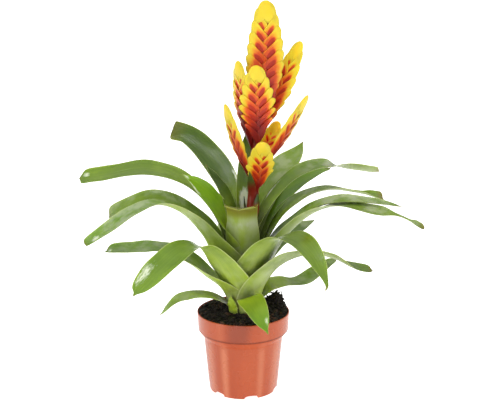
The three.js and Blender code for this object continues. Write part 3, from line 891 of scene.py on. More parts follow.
@dataclass
class Pot:
    """Thin-walled nursery pot: band at the mouth, step under it, raised floor, notched foot."""

    rim_radius: float = 60.0
    height: float = 106.0
    wall: float = 1.6
    band_drop: float = 24.0
    band_taper: float = 1.2
    shoulder_drop: float = 33.0
    shoulder_radius: float = 51.5
    foot_radius: float = 44.5
    foot_ring: float = 4.5
    floor: float = 7.0
    floor_thickness: float = 1.8
    notches: int = 6
    notch_width: float = 18.0
    notch_height: float = 4.2
    notch_turn: float = 14.5
    notch_reach: float = 4.6
    drain_holes: int = 6
    drain_radius: float = 4.0
    drain_circle: float = 26.0
    drain_segments: int = 24
    segments: int = 216
    finish: PotFinish = PotFinish()

    def inner_radius(self, height: float) -> float:
        """Radius inside the wall at a height.

        Args:
            height: Height above the foot.

        Returns:
            The radius.
        """
        z = [0, self.height - self.shoulder_drop, self.height - self.band_drop, self.height]
        r = [self.foot_radius, self.shoulder_radius, self.rim_radius - self.band_taper, self.rim_radius]
        return float(np.interp(height, z, r)) - self.wall

    def foot_line(self) -> list[tuple[float, float]]:
        """Line from under the middle of the floor, round the foot ring, to the wall above it.

        Returns:
            Pairs of radius and height.
        """
        under, foot, inner = self.floor - self.floor_thickness, self.foot_radius, self.foot_radius - self.foot_ring
        line = [(0.4, under), (10, under), (20, under), (30, under), (inner - 0.8, under), (inner, under - 0.5)]
        line += [(inner + 0.15, z) for z in (4.0, 3.0, 2.0, 1.0, 0.4)]
        line += [(inner + 0.6, 0), (foot - 1.3, 0), (foot - 0.7, 0.15), (foot - 0.25, 0.7), (foot, 1.6)]
        return line + [(foot + 0.1, 2.4), (foot + 0.2, 3.3), (foot + 0.3, 4.6), (foot + 0.6, 8)]

    def wall_line(self) -> list[tuple[float, float]]:
        """Line up the outside of the wall, over the step and the band to the rim.

        Returns:
            Pairs of radius and height.
        """
        shoulder, band = self.height - self.shoulder_drop, self.height - self.band_drop
        foot, step, rim, top = self.foot_radius, self.shoulder_radius, self.rim_radius, self.height
        band_radius = rim - self.band_taper
        line = [(foot + (step - foot) * share, shoulder * share) for share in np.linspace(0.15, 0.97, 12)]
        line += [(step, shoulder - 0.5), (step + 0.35, shoulder + 0.3)]
        line += [(band_radius - 2.4, band - 2.6), (band_radius - 2.1, band - 1.4)]
        line += [(band_radius - 2.2, band - 0.1), (band_radius - 0.4, band), (band_radius - 0.05, band + 0.2)]
        line += [(band_radius, band + 0.6)]
        for share in np.linspace(0.15, 0.9, 6):
            line.append((band_radius + self.band_taper * share, band + (self.band_drop - 1.2) * share))
        return line + [(rim, top - 1.0), (rim - 0.12, top - 0.4), (rim - 0.5, top)]

    def inner_line(self) -> list[tuple[float, float]]:
        """Line from the rim down the inside of the wall to the middle of the floor.

        Returns:
            Pairs of radius and height.
        """
        rim, top, floor = self.rim_radius - self.wall, self.height, self.floor
        line = [(rim + 0.35, top), (rim, top - 0.4)]
        line += [(self.inner_radius(z), z) for z in (100, 92, 84, 78, 70, 50, 30, 12)]
        line += [(self.inner_radius(9) - 1.0, floor + 0.4), (self.foot_radius - self.wall - 3, floor)]
        return line + [(30, floor), (15, floor), (0.4, floor)]

    def notch_lift(self, angles: np.ndarray) -> np.ndarray:
        """How far the foot is cut away.

        Args:
            angles: Angles round the pot, in radians.

        Returns:
            Heights above the foot.
        """
        pitch = 2 * math.pi / self.notches
        turned = angles - math.radians(self.notch_turn)
        off = (turned % pitch - pitch / 2) * self.foot_radius / (self.notch_width / 2)
        return self.notch_height * np.sqrt(np.clip(1 - off**2, 0, 1)) ** 0.6

    def build(self) -> bpy.types.Object:
        """Builds and dresses the pot.

        Returns:
            The pot's object.
        """
        angles = around(self.segments)
        lift = self.notch_lift(angles)
        ring_foot = self.foot_radius - self.foot_ring - 0.1
        rings = []
        for radius, height in self.foot_line() + self.wall_line() + self.inner_line():
            z = np.full(self.segments, float(height))
            if height < self.notch_reach and radius > ring_foot:
                z = height + lift * (1 - height / self.notch_reach)
            rings.append(ring(angles, radius, z))
        skin = Skin()
        skin.add_rings(np.array(rings))
        pot = skin.build("nursery_pot")
        self.drill(pot)
        return seat(pot, self.finish.material(), "pot", "pot")

    def drill(self, pot: bpy.types.Object) -> None:
        """Cuts the drain holes in the raised floor.

        Args:
            pot: The pot's object.
        """
        cutters = Skin()
        hole = ring(around(self.drain_segments), self.drain_radius, 0.0)
        for i in range(self.drain_holes):
            middle = polar(360 * i / self.drain_holes, self.drain_circle, 0)
            cutters.add_rings(np.array([hole + middle + (0, 0, z) for z in (2, self.floor + 4)]))
        tool = cutters.build("drill")
        cut = pot.modifiers.new("drain", "BOOLEAN")
        cut.object = tool
        cut.operation = "DIFFERENCE"
        bpy.context.view_layer.update()
        view = pot.evaluated_get(bpy.context.evaluated_depsgraph_get())
        drilled = bpy.data.meshes.new_from_object(view)
        pot.modifiers.clear()
        pot.data = drilled
        bpy.data.objects.remove(tool)


# ---------------------------------------------------------------- peat


@dataclass
class Peat:
    """Peat and bark in the pot: a lumpy crown with loose bits and fibres on it."""

    pot: Pot
    edge_drop: float = 1.6
    crown: float = 3.6
    clearance: float = 0.4
    heap_at: tuple[float, float] = (43.0, 27.0)
    heap_size: tuple[float, float] = (12.0, 15.0)
    heap_height: float = 13.0
    lump_heights: tuple[float, float] = (1.9, 1.4)
    bits: int = 1500
    crumbs: int = 520
    crumbs_to_a_root: int = 9
    fibres: int = 96
    thick_with_fibres: float = -40.0
    segments: int = 200
    crown_rings: int = 90
    seed: int = 7
    finish: PeatFinish = PeatFinish()

    @property
    def edge(self) -> float:
        """Height of the peat at the wall."""
        return self.pot.height - self.edge_drop

    @property
    def inside(self) -> float:
        """Radius inside the wall at the peat's edge."""
        return self.pot.inner_radius(self.edge)

    def top(self, x: np.ndarray, y: np.ndarray, reach: np.ndarray) -> np.ndarray:
        """Height of the peat's surface.

        Args:
            x: How far right each place lies.
            y: How far back it lies.
            reach: How far from the middle it counts as lying.

        Returns:
            The heights.
        """
        points = np.stack([x, y, np.zeros_like(x)], axis=1)
        coarse, fine = self.lump_heights
        lumps = coarse * grain(points, 0.1, 2) + fine * grain(points + 40, 0.36, 3)
        over_x, over_y = (x - self.heap_at[0]) / self.heap_size[0], (y - self.heap_at[1]) / self.heap_size[1]
        heap = self.heap_height * np.exp(-(over_x**2) - over_y**2)
        return self.edge + self.crown * (1 - smoothstep(0, self.inside, reach)) + (lumps + heap)

    def plug(self, skin: Skin) -> None:
        """Adds the body of the peat.

        Args:
            skin: The mesh that it joins.
        """
        angles, low = around(self.segments), self.pot.floor + self.clearance
        rings = [ring(angles, reach, low) for reach in (0.5, 20, 36)]
        rings += [
            ring(angles, self.pot.inner_radius(level) - self.clearance, level)
            for level in (low, 40, 73, 83, self.edge - 3)
        ]
        for reach in np.linspace(self.inside - self.clearance, 0.5, self.crown_rings):
            flat = ring(angles, reach, 0.0)
            height = self.top(flat[:, 0], flat[:, 1], np.full(self.segments, reach))
            rings.append(ring(angles, reach, height))
        skin.add_rings(np.array(rings), bit=0.2)

    def chip(self, random: np.random.Generator, size: float) -> np.ndarray:
        """Corners of one rough bit.

        Args:
            random: Source of chance.
            size: Its half length.

        Returns:
            Twelve corners round the origin.
        """
        g = (1 + math.sqrt(5)) / 2
        corners = np.array([(a, b, 0) for a in (-1, 1) for b in (-g, g)], float)
        corners = np.concatenate([corners, corners[:, [2, 0, 1]], corners[:, [1, 2, 0]]]) / g
        corners *= 0.7 + 0.6 * random.random((12, 1))
        corners *= size * np.array([1, 0.45 + 0.4 * random.random(), 0.25 + 0.3 * random.random()])
        turn, tilt = random.random() * 2 * math.pi, (random.random() - 0.5) * 1.6
        c, s = math.cos(tilt), math.sin(tilt)
        corners = corners @ np.array([[c, 0, -s], [0, 1, 0], [s, 0, c]])
        c, s = math.cos(turn), math.sin(turn)
        return corners @ np.array([[c, s, 0], [-s, c, 0], [0, 0, 1]])

    def loose(self, skin: Skin) -> None:
        """Adds the loose bits and the heap's crumbs and root ends.

        Args:
            skin: The mesh that they join.
        """
        random = np.random.default_rng(self.seed)
        self.chip(random, 1.0)  # the first bit is thrown away, so that the others keep their places
        hull = convex_faces(self.chip(np.random.default_rng(1), 1.0))
        for _ in range(self.bits):
            reach = (self.inside - 2.0) * math.sqrt(random.random())
            place = polar(random.random() * 360, reach, 0)[:2]
            size = 0.8 + 2.8 * random.random() ** 1.9
            height = self.top(place[:1], place[1:], np.array([reach]))[0] + 0.3 * size
            skin.add(self.chip(random, size) + (*place, height), hull, bit=random.random())
        for i in range(self.crumbs):
            middle = self.crumb(skin, random, hull)
            if i % self.crumbs_to_a_root == 0:
                self.root_end(skin, random, middle)

    def crumb(self, skin: Skin, random: np.random.Generator, hull: list[list[int]]) -> np.ndarray:
        """Adds one crumb of the heap.

        Args:
            skin: The mesh that it joins.
            random: Source of chance.
            hull: Faces of a bit.

        Returns:
            The crumb's middle.
        """
        place = np.array(self.heap_at) + np.array(self.heap_size) * random.normal(size=2) * 0.6
        place *= min(1, (self.pot.inner_radius(self.pot.height) - 0.5) / float(np.hypot(*place)))
        height = self.top(place[:1], place[1:], np.hypot(*place))[0]
        size = 0.8 + 1.7 * random.random() ** 1.5
        middle = np.array([*place, height + size * (random.random() - 0.2)])
        skin.add(self.chip(random, size) + middle, hull, bit=0.6 * random.random())
        return middle

    def root_end(self, skin: Skin, random: np.random.Generator, foot: np.ndarray) -> None:
        """Adds a root end that stands up from the heap.

        Args:
            skin: The mesh that it joins.
            random: Source of chance.
            foot: Where it starts.
        """
        lean = np.array([random.normal(), random.normal(), 1 + 1.2 * random.random()])
        bend = np.array([random.normal(), random.normal(), -0.8 * random.random()])
        k = np.linspace(0, 1, 6)[:, None]
        points = foot + (2 + 2.8 * random.random()) * (k * lean + 0.8 * k**2 * bend)
        tube(skin, points, np.linspace(0.85, 0.5, 6), 5, bit=0.3 * random.random())

    def strands(self, skin: Skin) -> None:
        """Adds the root fibres.

        Args:
            skin: The mesh that they join.
        """
        random = np.random.default_rng(self.seed + 1)
        outer = self.inside - 5
        for i in range(self.fibres):
            reach, azimuth = outer * math.sqrt(random.random()), random.random() * 360
            if i % 4 == 0:
                reach = outer * (0.86 + 0.14 * random.random())
                azimuth = self.thick_with_fibres + 12 * random.normal()
            start = polar(azimuth, reach, 0)
            heading = random.random() * 2 * math.pi
            length = 4 + 8 * random.random()
            points = []
            for k in np.linspace(0, 1, 6):
                bend = heading + 1.3 * k * (random.random() - 0.3)
                p = start + length * k * np.array([math.cos(bend), math.sin(bend), 0])
                reach = float(np.hypot(p[0], p[1]))
                if reach > outer + 4:
                    p[:2] *= (outer + 4) / reach
                height = self.top(p[:1], p[1:2], np.array([min(reach, outer)]))[0]
                points.append((p[0], p[1], height + 0.5 + 1.6 * math.sin(math.pi * k) * random.random()))
            thin = 0.2 + 0.25 * random.random()
            tube(skin, np.array(points), np.full(6, thin), 5, bit=0.9 + 0.2 * random.random())

    def build(self) -> bpy.types.Object:
        """Builds and dresses the peat.

        Returns:
            The peat's object.
        """
        skin = Skin()
        self.plug(skin)
        self.loose(skin)
        self.strands(skin)
        return seat(skin.build("peat_mix"), self.finish.material(), "soil", "soil")


# ---------------------------------------------------------------- stem


@dataclass
class Stock:
    """Short stem in the middle of the rosette."""

    bottom: float = 72.0
    collar: float = 106.0
    top: float = 198.0
    radii: tuple[float, float, float] = (15.0, 16.6, 7.5)
    segments: int = 72
    stations: int = 64
    finish: StockFinish = StockFinish()

    def radius_at(self, height: float) -> float:
        """Radius at a height."""
        return float(np.interp(height, (self.bottom, self.collar, self.top), self.radii))

    def build(self) -> bpy.types.Object:
        """Builds and dresses the stem.

        Returns:
            The stem's object.
        """
        angles = around(self.segments)
        rings = []
        for z in np.linspace(self.bottom, self.top, self.stations):
            scarred = self.radius_at(z) + 0.25 * np.sin(z * 1.7) + 0.2 * np.sin(3 * angles + z)
            rings.append(ring(angles, scarred, z))
        skin = Skin()
        skin.add_rings(np.array(rings))
        return seat(skin.build("stem"), self.finish.material(), "stock", "stock")


# ---------------------------------------------------------------- leaves


class Tip(Enum):
    """Half width along a blade, as a share of its widest, for each kind of tip."""

    STRAP = ((0, 0.9), (0.36, 0.9), (0.6, 1), (0.82, 0.92), (0.93, 0.7), (0.975, 0.4), (0.988, 0.16), (1, 0.03))
    BLUNT = ((0, 0.9), (0.36, 0.9), (0.6, 1), (0.84, 0.96), (0.94, 0.86), (0.975, 0.68), (0.988, 0.34), (1, 0.03))
    CREST = ((0, 0.9), (0.36, 0.9), (0.6, 1), (0.8, 0.88), (0.93, 0.74), (0.985, 0.74), (0.996, 0.6), (1, 0.3))
    SQUARE = ((0, 0.9), (0.36, 0.9), (0.6, 1), (0.84, 1), (0.95, 0.96), (0.985, 0.84), (0.996, 0.6), (1, 0.3))
    POINTED = ((0, 0.86), (0.4, 0.92), (0.64, 1), (0.8, 0.84), (0.9, 0.56), (0.96, 0.24), (0.985, 0.1), (1, 0.02))
    BROAD = ((0, 0.86), (0.4, 0.92), (0.64, 1), (0.82, 0.86), (0.92, 0.64), (0.965, 0.4), (0.985, 0.12), (1, 0.03))
    NARROW = ((0, 0.86), (0.4, 0.86), (0.66, 1), (0.8, 0.8), (0.87, 0.3), (0.925, 0.2), (0.955, 0.46), (0.985, 0.42),
              (1, 0.12))
    TAPERED = ((0, 0.9), (0.3, 0.94), (0.5, 1), (0.7, 0.8), (0.86, 0.46), (0.95, 0.14), (1, 0.03))


@dataclass(frozen=True)
class LeafPlan:
    """One leaf: where its foot is, which way it points, how wide it is and how it arches.

    The path's knots are reach, height and drift in degrees. The roll's, the scorch's and the bloom_and_sheen's knots
    are a share of the length and a value; that value lays pale scales near the sheath and painted sheen further
    along.
    The tone runs from 0 for a young pale leaf to 1 for an old dark one. The hold stretches the sheath before it
    narrows into the blade, and the gap sets it off the stem. A glint is a painted highlight: a share of the length, a
    side from
    -1 to 1, its half length and half width, and how strong it is where that isn't 1.
    """

    root: float
    azimuth: float
    width: float
    sheath: float
    path: tuple[tuple[float, ...], ...]
    roll: tuple[tuple[float, float], ...] = ((0.1, 0), (1, 0))
    tip: Tip = Tip.STRAP
    tone: float = 0.5
    hold: float = 1.0
    gap: float = 1.2
    scorch: tuple[tuple[float, float], ...] = ((0.96, 0), (1, 0.8))
    # pale scales near the sheath; painted sheen where set further along
    bloom_and_sheen: tuple[tuple[float, float], ...] = ((0, 0.35), (0.25, 0.15), (0.4, 0))
    glints: tuple[tuple[float, ...], ...] = ()


@dataclass
class Leaf:
    """A leaf's mesh: a sheath round the stem that opens into a trough-shaped blade."""

    plan: LeafPlan
    number: int
    stock: Stock
    thickness: float = 1.2
    edge: float = 0.7
    clearance: float = 0.65
    sheath_length: float = 55.0
    widest_wrap: float = 78.0
    channel: float = 24.0
    wave: float = 1.5
    stations: int = 120
    columns: int = 22

    def shares(self) -> np.ndarray:
        """Shares of the length where sections lie, closer towards the tip."""
        t = np.linspace(0, 1, self.stations)
        return 1 - (1 - t) ** 1.35

    def frames(self) -> tuple[np.ndarray, ...]:
        """Sections' places and directions along the midrib.

        Returns:
            Centres, tangents, directions towards the stem, and distances along the midrib.
        """
        plan = self.plan
        foot = self.stock.radius_at(plan.root) + plan.gap + self.clearance
        knots = [(foot, plan.root), *plan.path]
        line = Midline(np.array([polar(plan.azimuth + sum(k[2:]), k[0], k[1]) for k in knots]))
        inward = polar(plan.azimuth, -1, 0)
        rows = []
        for tangent in line.tangents:
            inward = inward - inward.dot(tangent) * tangent
            inward = inward / np.linalg.norm(inward)
            rows.append(inward)
        run = self.shares() * line.travelled[-1]
        places, tangents, inwards = (line.read(table, run) for table in (line.places, line.tangents, np.array(rows)))
        return places, unit(tangents), unit(inwards), run

    def ripple(self, share: np.ndarray, side: np.ndarray) -> np.ndarray:
        """How far the blade's margins wave, in millimetres.

        Args:
            share: Shares of the length.
            side: Places across, from -1 to 1.

        Returns:
            Heights, sections by places across.
        """
        random = np.random.default_rng(100 + self.number)
        wave = np.zeros((len(share), len(side)))
        for turns in (1.6, 3.1, 5.3):
            for hand in (-1, 1):
                phase, size = random.random() * 6.28, (0.5 + random.random()) * self.wave / turns
                weight = np.clip(hand * side, 0, 1) ** 2.2
                wave += size * np.sin(turns * 6.28 * share + phase)[:, None] * weight[None, :]
        return wave * (smoothstep(0.25, 0.5, share) * (1 - 0.5 * smoothstep(0.9, 1, share)))[:, None]

    def gleam(self, share: np.ndarray, side: np.ndarray) -> np.ndarray:
        """How strong the painted highlight is.

        Args:
            share: Shares of the length.
            side: Places across, from -1 to 1.

        Returns:
            Strengths, sections by places across.
        """
        gleam = np.zeros((len(share), len(side)))
        for middle, across, long, wide, *peak in self.plan.glints:
            off = ((share[:, None] - middle) / long) ** 2 + ((side[None, :] - across) / wide) ** 2
            gleam = np.maximum(gleam, (peak or [1.0])[0] * np.exp(-off))
        return gleam

    def spread(self, share: np.ndarray, run: np.ndarray, reach: np.ndarray) -> tuple[np.ndarray, ...]:
        """How the sheath opens into the blade.

        Args:
            share: Shares of the length.
            run: Distances along the midrib.
            reach: Distances of the midrib from the stem's axis.

        Returns:
            Half width, half angle of the trough, and how free of the stem each section is.
        """
        plan, start, end = self.plan, 0.4 * self.sheath_length, 1.5 * self.sheath_length
        free = smoothstep(start, end, run)
        narrowing = smoothstep(start * plan.hold, end * plan.hold, run)
        outline = monotone(plan.tip.value, share)
        widest = np.minimum(plan.sheath / 2, math.radians(self.widest_wrap) * reach)
        widest = widest * np.where(share > 0.6, outline, 1)
        half = widest * (1 - narrowing) + plan.width / 2 * outline * narrowing
        wrap = half / reach * (1 - free) + math.radians(self.channel) * free
        return half, wrap, free

    def rings(self) -> tuple[np.ndarray, dict[str, np.ndarray]]:
        """Sections of the blade.

        Returns:
            Their points, and the values painted on them by name.
        """
        plan, share = self.plan, self.shares()
        centre, tangent, inward, run = self.frames()
        roll = np.radians(monotone(plan.roll, share))
        across = turned_about(unit(np.cross(inward, tangent)), tangent, roll)
        upper = turned_about(inward, tangent, roll)
        half, wrap, free = self.spread(share, run, np.hypot(centre[:, 0], centre[:, 1]))
        up = unit(unit(-centre * (1, 1, 0)) * (1 - free)[:, None] + upper * free[:, None])
        thick = self.thickness + (self.edge - self.thickness) * smoothstep(0.6, 1, share)
        sides = np.sin(np.linspace(-1, 1, self.columns + 1) * math.pi / 2)
        side = np.concatenate([sides, sides[-2:0:-1]])
        face = np.concatenate([np.ones(self.columns + 1), np.zeros(self.columns - 1)])
        face[0] = face[self.columns] = 0.5
        radius = (half / wrap)[:, None]
        lens = np.clip(1 - np.abs(side) ** 6, 0, 1) ** 0.5 * (1 - 0.35 * side**2)
        h = (2 * face - 1)[None, :] * thick[:, None] / 2 * lens[None, :]
        angle = side[None, :] * wrap[:, None]
        out = (radius - h) * np.sin(angle)
        rise = radius - (radius - h) * np.cos(angle) + self.ripple(share, side)
        points = centre[:, None] + across[:, None] * out[..., None] + up[:, None] * rise[..., None]
        along = {"run": run, "scorch": monotone(plan.scorch, share), "bloom_and_sheen": monotone(plan.bloom_and_sheen, share)}
        values = {name: np.broadcast_to(v[:, None], h.shape) for name, v in along.items()}
        values |= {name: np.broadcast_to(v, h.shape) for name, v in (("side", side), ("face", face))}
        return points, values | {"tone": np.full(h.shape, plan.tone), "glint": self.gleam(share, side)}

    def build(self, material: bpy.types.Material) -> bpy.types.Object:
        """Builds and dresses the leaf.

        Args:
            material: The finish that all leaves share.

        Returns:
            The leaf's object.
        """
        points, values = self.rings()
        skin = Skin()
        skin.add_rings(points, **values)
        return seat(skin.build(f"blade_{self.number:02d}"), material, "leaf", f"leaf_{self.number:02d}")


BROWN_END = ((0.93, 0), (0.97, 0.3), (1, 0.9))
WORN_TIP = ((0.985, 0), (1, 0.6))

LEAVES = (
    LeafPlan(  # 1
        root=190, azimuth=78, width=24, sheath=22, path=((12, 216), (14, 270), (24, 318), (40, 345)), tip=Tip.TAPERED,
        tone=0.8, glints=((0.38, 0.1, 0.085, 0.5, 2.2),),
    ),
    LeafPlan(  # 2
        root=186, azimuth=105, width=36, sheath=26,
        path=((16, 210), (28, 243, 8), (56, 274, 13), (88, 298, 17), (117, 319.5, 23), (137.5, 327, 29)),
        roll=((0.1, 0), (0.6, 0), (0.85, -14), (1, -40)), tip=Tip.CREST, tone=0.88, scorch=((0.9, 0), (1, 0.4)),
        glints=((0.45, -0.88, 0.08, 0.14),),
    ),
    LeafPlan(  # 3
        root=182, azimuth=14, width=30, sheath=26,
        path=((16, 206), (25, 232), (38, 254), (56, 274), (79, 288), (104, 293), (132, 290), (183, 281.5)),
        roll=((0.1, 0), (0.45, 14), (0.7, 8), (0.755, -12), (0.82, -24), (1, -32)), tip=Tip.BLUNT, tone=0.3,
        bloom_and_sheen=((0.5, 0), (0.64, 0.5), (0.74, 0.7), (0.82, 0.25), (1, 0.2)), glints=((0.36, 0.75, 0.08, 0.1),),
    ),
    LeafPlan(  # 4
        root=177, azimuth=150, width=22, sheath=26, path=((17, 204), (20, 240), (30, 264), (43, 279), (56, 294)),
        roll=((0.1, 0), (0.45, -10), (0.72, -16), (1, -20)), tip=Tip.TAPERED, tone=1.0,
    ),
    LeafPlan(  # 5
        root=173, azimuth=54, width=40, sheath=28,
        path=((19, 199), (34, 231), (60, 259), (95, 283), (120, 295), (138, 309)),
        roll=((0.1, 0), (0.45, 10), (0.72, 10), (1, 0)), tip=Tip.POINTED, tone=0.45,
        bloom_and_sheen=((0.5, 0), (0.72, 0.45), (0.85, 0.3), (1, 0)),
    ),
    LeafPlan(  # 6
        root=168, azimuth=203, width=42, sheath=56, path=((18, 194), (26, 228), (44, 257), (63, 280), (81, 295)),
        roll=((0.1, 0), (0.3, -30), (0.6, -40), (0.85, -52), (1, -46)), tip=Tip.TAPERED, tone=0.0, hold=1.5,
        scorch=WORN_TIP, glints=((0.96, 0.1, 0.04, 0.7), (0.84, 0.8, 0.09, 0.25)),
    ),
    LeafPlan(  # 7
        root=164, azimuth=268, width=42, sheath=54,
        path=((20, 190), (27, 222), (35, 245), (52, 256), (84, 263), (124, 272)), tone=0.05,
        scorch=((0.41, 0), (0.46, 0.5), (0.53, 0.75), (1, 0.5)),
        bloom_and_sheen=((0, 0.6), (0.2, 0.5), (0.3, 0.4), (0.38, 0.75), (0.46, 0)),
    ),
    LeafPlan(  # 8
        root=160, azimuth=30, width=26, sheath=28,
        path=((20, 186), (32, 218), (52, 245), (77, 262.5), (104, 275), (134, 281.5)),
        roll=((0.1, 0), (0.45, 10), (0.72, 14), (1, 10)), tone=0.15, scorch=BROWN_END,
    ),
    LeafPlan(  # 9
        root=156, azimuth=163, width=36, sheath=44,
        path=((21, 182), (30, 222), (54, 255), (88, 277), (122, 285), (150, 284), (190, 274), (228, 267)),
        roll=((0.1, 0), (0.45, -3), (0.72, -27), (0.9, -28), (1, -44)), tip=Tip.BLUNT, scorch=WORN_TIP,
        glints=((0.965, -0.35, 0.02, 0.3),),
    ),
    LeafPlan(  # 10
        root=152, azimuth=6, width=34, sheath=44,
        path=((22, 178), (36, 215), (56, 242), (82, 259), (112, 265), (146, 260), (181, 252)),
        roll=((0.1, 0), (0.35, 10), (0.5, 4), (0.62, 0), (0.8, -9), (0.88, -8), (0.94, 8), (1, 14)), tip=Tip.CREST,
        hold=1.2, bloom_and_sheen=((0.4, 0), (0.55, 0.35), (0.8, 0.35), (1, 0.1)),
    ),
    LeafPlan(  # 11
        root=148, azimuth=92, width=34, sheath=34, path=((23, 174), (42, 212), (70, 235), (110, 237), (159, 218)),
    ),
    LeafPlan(  # 12
        root=144, azimuth=176, width=33, sheath=44,
        path=((24, 170), (34, 202), (52, 225), (78, 243), (104, 252), (134, 250), (173, 231)),
        roll=((0.1, 0), (0.45, -18), (0.72, -18), (1, -26)), tip=Tip.SQUARE, scorch=WORN_TIP,
        bloom_and_sheen=((0.3, 0.1), (0.5, 0.25), (0.62, 0.5), (0.8, 0.25), (1, 0.3)),
    ),
    LeafPlan(  # 13
        root=140, azimuth=-8, width=28, sheath=46,
        path=((24, 166), (39, 203), (60, 227.5), (86, 245.5), (120, 257), (156, 257), (201, 252)),
        roll=((0.1, 0), (0.45, 8), (0.72, 6), (1, 0)), tone=0.4, hold=1.3,
        bloom_and_sheen=((0.3, 0), (0.5, 0.3), (0.65, 0.6), (1, 0.4)),
    ),
    LeafPlan(  # 14
        root=136, azimuth=236, width=32, sheath=60,
        path=(
            (25, 162, -10), (38, 194, -20), (60, 226, -28), (88, 249, -34), (116, 258, -36), (145, 250, -36),
            (175, 231, -36), (204, 214, -36),
        ),
        roll=((0.1, 0), (0.35, -8), (0.5, -28), (0.6, -40), (0.7, -50), (0.8, -50), (1, -46)), tip=Tip.SQUARE,
        tone=0.2, hold=1.1, scorch=WORN_TIP, bloom_and_sheen=((0, 0.15), (0.3, 0.2), (0.6, 0.5), (0.8, 0.5), (1, 0.15)),
        glints=((0.945, 0.1, 0.025, 0.45),),
    ),
    LeafPlan(  # 15
        root=133, azimuth=-46, width=30, sheath=56,
        path=(
            (25, 158, 8), (42, 194, 18), (66, 224, 26), (96, 246, 31), (130, 254.5, 32), (166, 250, 32),
            (198, 244.5, 33), (229, 229, 34),
        ),
        roll=((0.1, 0), (0.3, 6), (0.45, 14), (0.55, 24), (0.62, 34), (0.7, 46), (0.8, 56), (0.88, 46), (1, 60)),
        tip=Tip.NARROW, hold=1.1, bloom_and_sheen=((0, 0.1), (0.3, 0.1), (0.5, 0.4), (0.7, 0.6), (0.9, 0.3)),
        glints=((0.48, 0.72, 0.12, 0.16, 1.3),),
    ),
    LeafPlan(  # 16
        root=130, azimuth=-58, width=42, sheath=64,
        path=(
            (26, 155), (41, 186), (66, 215), (98, 228), (131, 228.5), (158, 217), (175, 202), (183, 191),
            (181, 184),
        ),
        roll=((0.1, 0), (0.45, 4), (0.72, 10), (1, 16)), tip=Tip.TAPERED, tone=0.6, hold=1.5,
        glints=((0.4, 0.8, 0.05, 0.12),),
    ),
    LeafPlan(  # 17
        root=127, azimuth=100, width=34, sheath=30, path=((27, 152), (47, 184), (80, 198), (115, 190), (146, 165)),
    ),
    LeafPlan(  # 18
        root=124, azimuth=40, width=28, sheath=32, path=((27, 149), (47, 177), (75, 193), (100, 200.5), (126, 206.5)),
        roll=((0.1, 0), (0.45, 6), (0.72, 14), (1, 16)), tip=Tip.POINTED, tone=0.4,
        bloom_and_sheen=((0.5, 0.3), (0.8, 0.7), (1, 0.3)),
    ),
    LeafPlan(  # 19
        root=123, azimuth=187, width=12, sheath=16, path=((24.5, 147), (35, 170), (50, 186)), tip=Tip.TAPERED,
        tone=1.0,
    ),
    LeafPlan(  # 20
        root=111, azimuth=232, width=44, sheath=66,
        path=((28, 146), (39, 168), (58, 193), (85, 212), (118, 214), (154, 202), (203, 180)),
        roll=((0.1, 0), (0.45, 0), (0.72, -6), (1, -10)), tip=Tip.BROAD, tone=0.35, hold=1.5, scorch=WORN_TIP,
        glints=((0.87, -0.6, 0.1, 0.42, 0.88),),
    ),
    LeafPlan(  # 21
        root=117, azimuth=194, width=37, sheath=68,
        path=(
            (29, 138, -6), (47, 152, -14), (69, 170, -20), (98, 183, -22), (128, 185, -22), (152, 181, -22),
            (181, 179.5, -22),
        ),
        roll=((0.1, 0), (0.3, -14), (0.45, -24), (0.6, -28), (0.72, -36), (0.85, -34), (1, -30)), tip=Tip.SQUARE,
        tone=0.2, hold=1.5, scorch=WORN_TIP, bloom_and_sheen=((0, 0.15), (0.3, 0.15), (0.6, 0.5), (1, 0.2)),
        glints=((0.975, 0.1, 0.016, 0.4),),
    ),
    LeafPlan(  # 22
        root=110, azimuth=-38, width=28, sheath=60,
        path=((28, 142), (43, 167, 4), (65, 185, 9), (92, 194, 14), (118, 190, 18), (140, 179, 21), (168, 172, 24)),
        roll=((0.1, 0), (0.3, 0), (0.4, -6), (0.5, -11), (0.6, -9), (0.72, -8), (0.8, 6), (0.9, 26), (1, 30)),
        tip=Tip.BLUNT, tone=0.75, hold=1.5, bloom_and_sheen=((0, 0.2), (0.4, 0.3), (0.7, 0.3), (1, 0)),
    ),
    LeafPlan(  # 23
        root=115, azimuth=82, width=32, sheath=32, path=((28, 138), (50, 160), (85, 166), (122, 152), (150, 128)),
    ),
    LeafPlan(  # 24
        root=113, azimuth=30, width=23, sheath=30,
        path=((31, 128), (42, 134.5), (60, 135), (86, 131), (112, 139), (146, 154)),
        roll=((0.1, 0), (0.3, 16), (0.6, 18), (1, 10)), tone=0.35, bloom_and_sheen=((0, 0.35), (0.4, 0.3), (1, 0.35)),
    ),
    LeafPlan(  # 25
        root=111, azimuth=100, width=28, sheath=34, path=((28, 128), (50, 139), (80, 140), (110, 124), (128, 104)),
        tip=Tip.TAPERED,
    ),
    LeafPlan(  # 26
        root=112, azimuth=188, width=21, sheath=26,
        path=((27, 120), (42, 128), (62, 130.5), (82, 125.5), (98, 114), (109, 104.5)),
        roll=((0.1, 0), (0.4, -6), (0.7, -20), (1, -24)), tip=Tip.TAPERED, tone=0.35,
        bloom_and_sheen=((0, 0.35), (0.3, 0.25), (0.6, 0.35), (1, 0.3)),
    ),
    LeafPlan(  # 27
        root=109, azimuth=-72, width=34, sheath=22,
        path=((24, 124, -6), (33, 134, -9), (48, 136, -7), (65, 126, -2), (84, 102, 4)), tip=Tip.TAPERED, tone=0.0,
        hold=0.6, gap=2.0, glints=((0.84, 0.6, 0.05, 0.25),),
    ),
    LeafPlan(  # 28
        root=104, azimuth=236, width=11, sheath=14, path=((24, 112), (26.5, 124), (28, 134)), tip=Tip.TAPERED,
        tone=0.0, gap=2.2,
    ),
)


# ---------------------------------------------------------------- flower stalk


@dataclass(frozen=True)
class ClaspPlan:
    """A bract that clasps the flower stalk: its foot, the way it faces and its sizes.

    The lean is how far its tip stands off the stalk.
    """

    at: tuple[float, float, float]
    azimuth: float
    length: float
    width: float
    lean: float


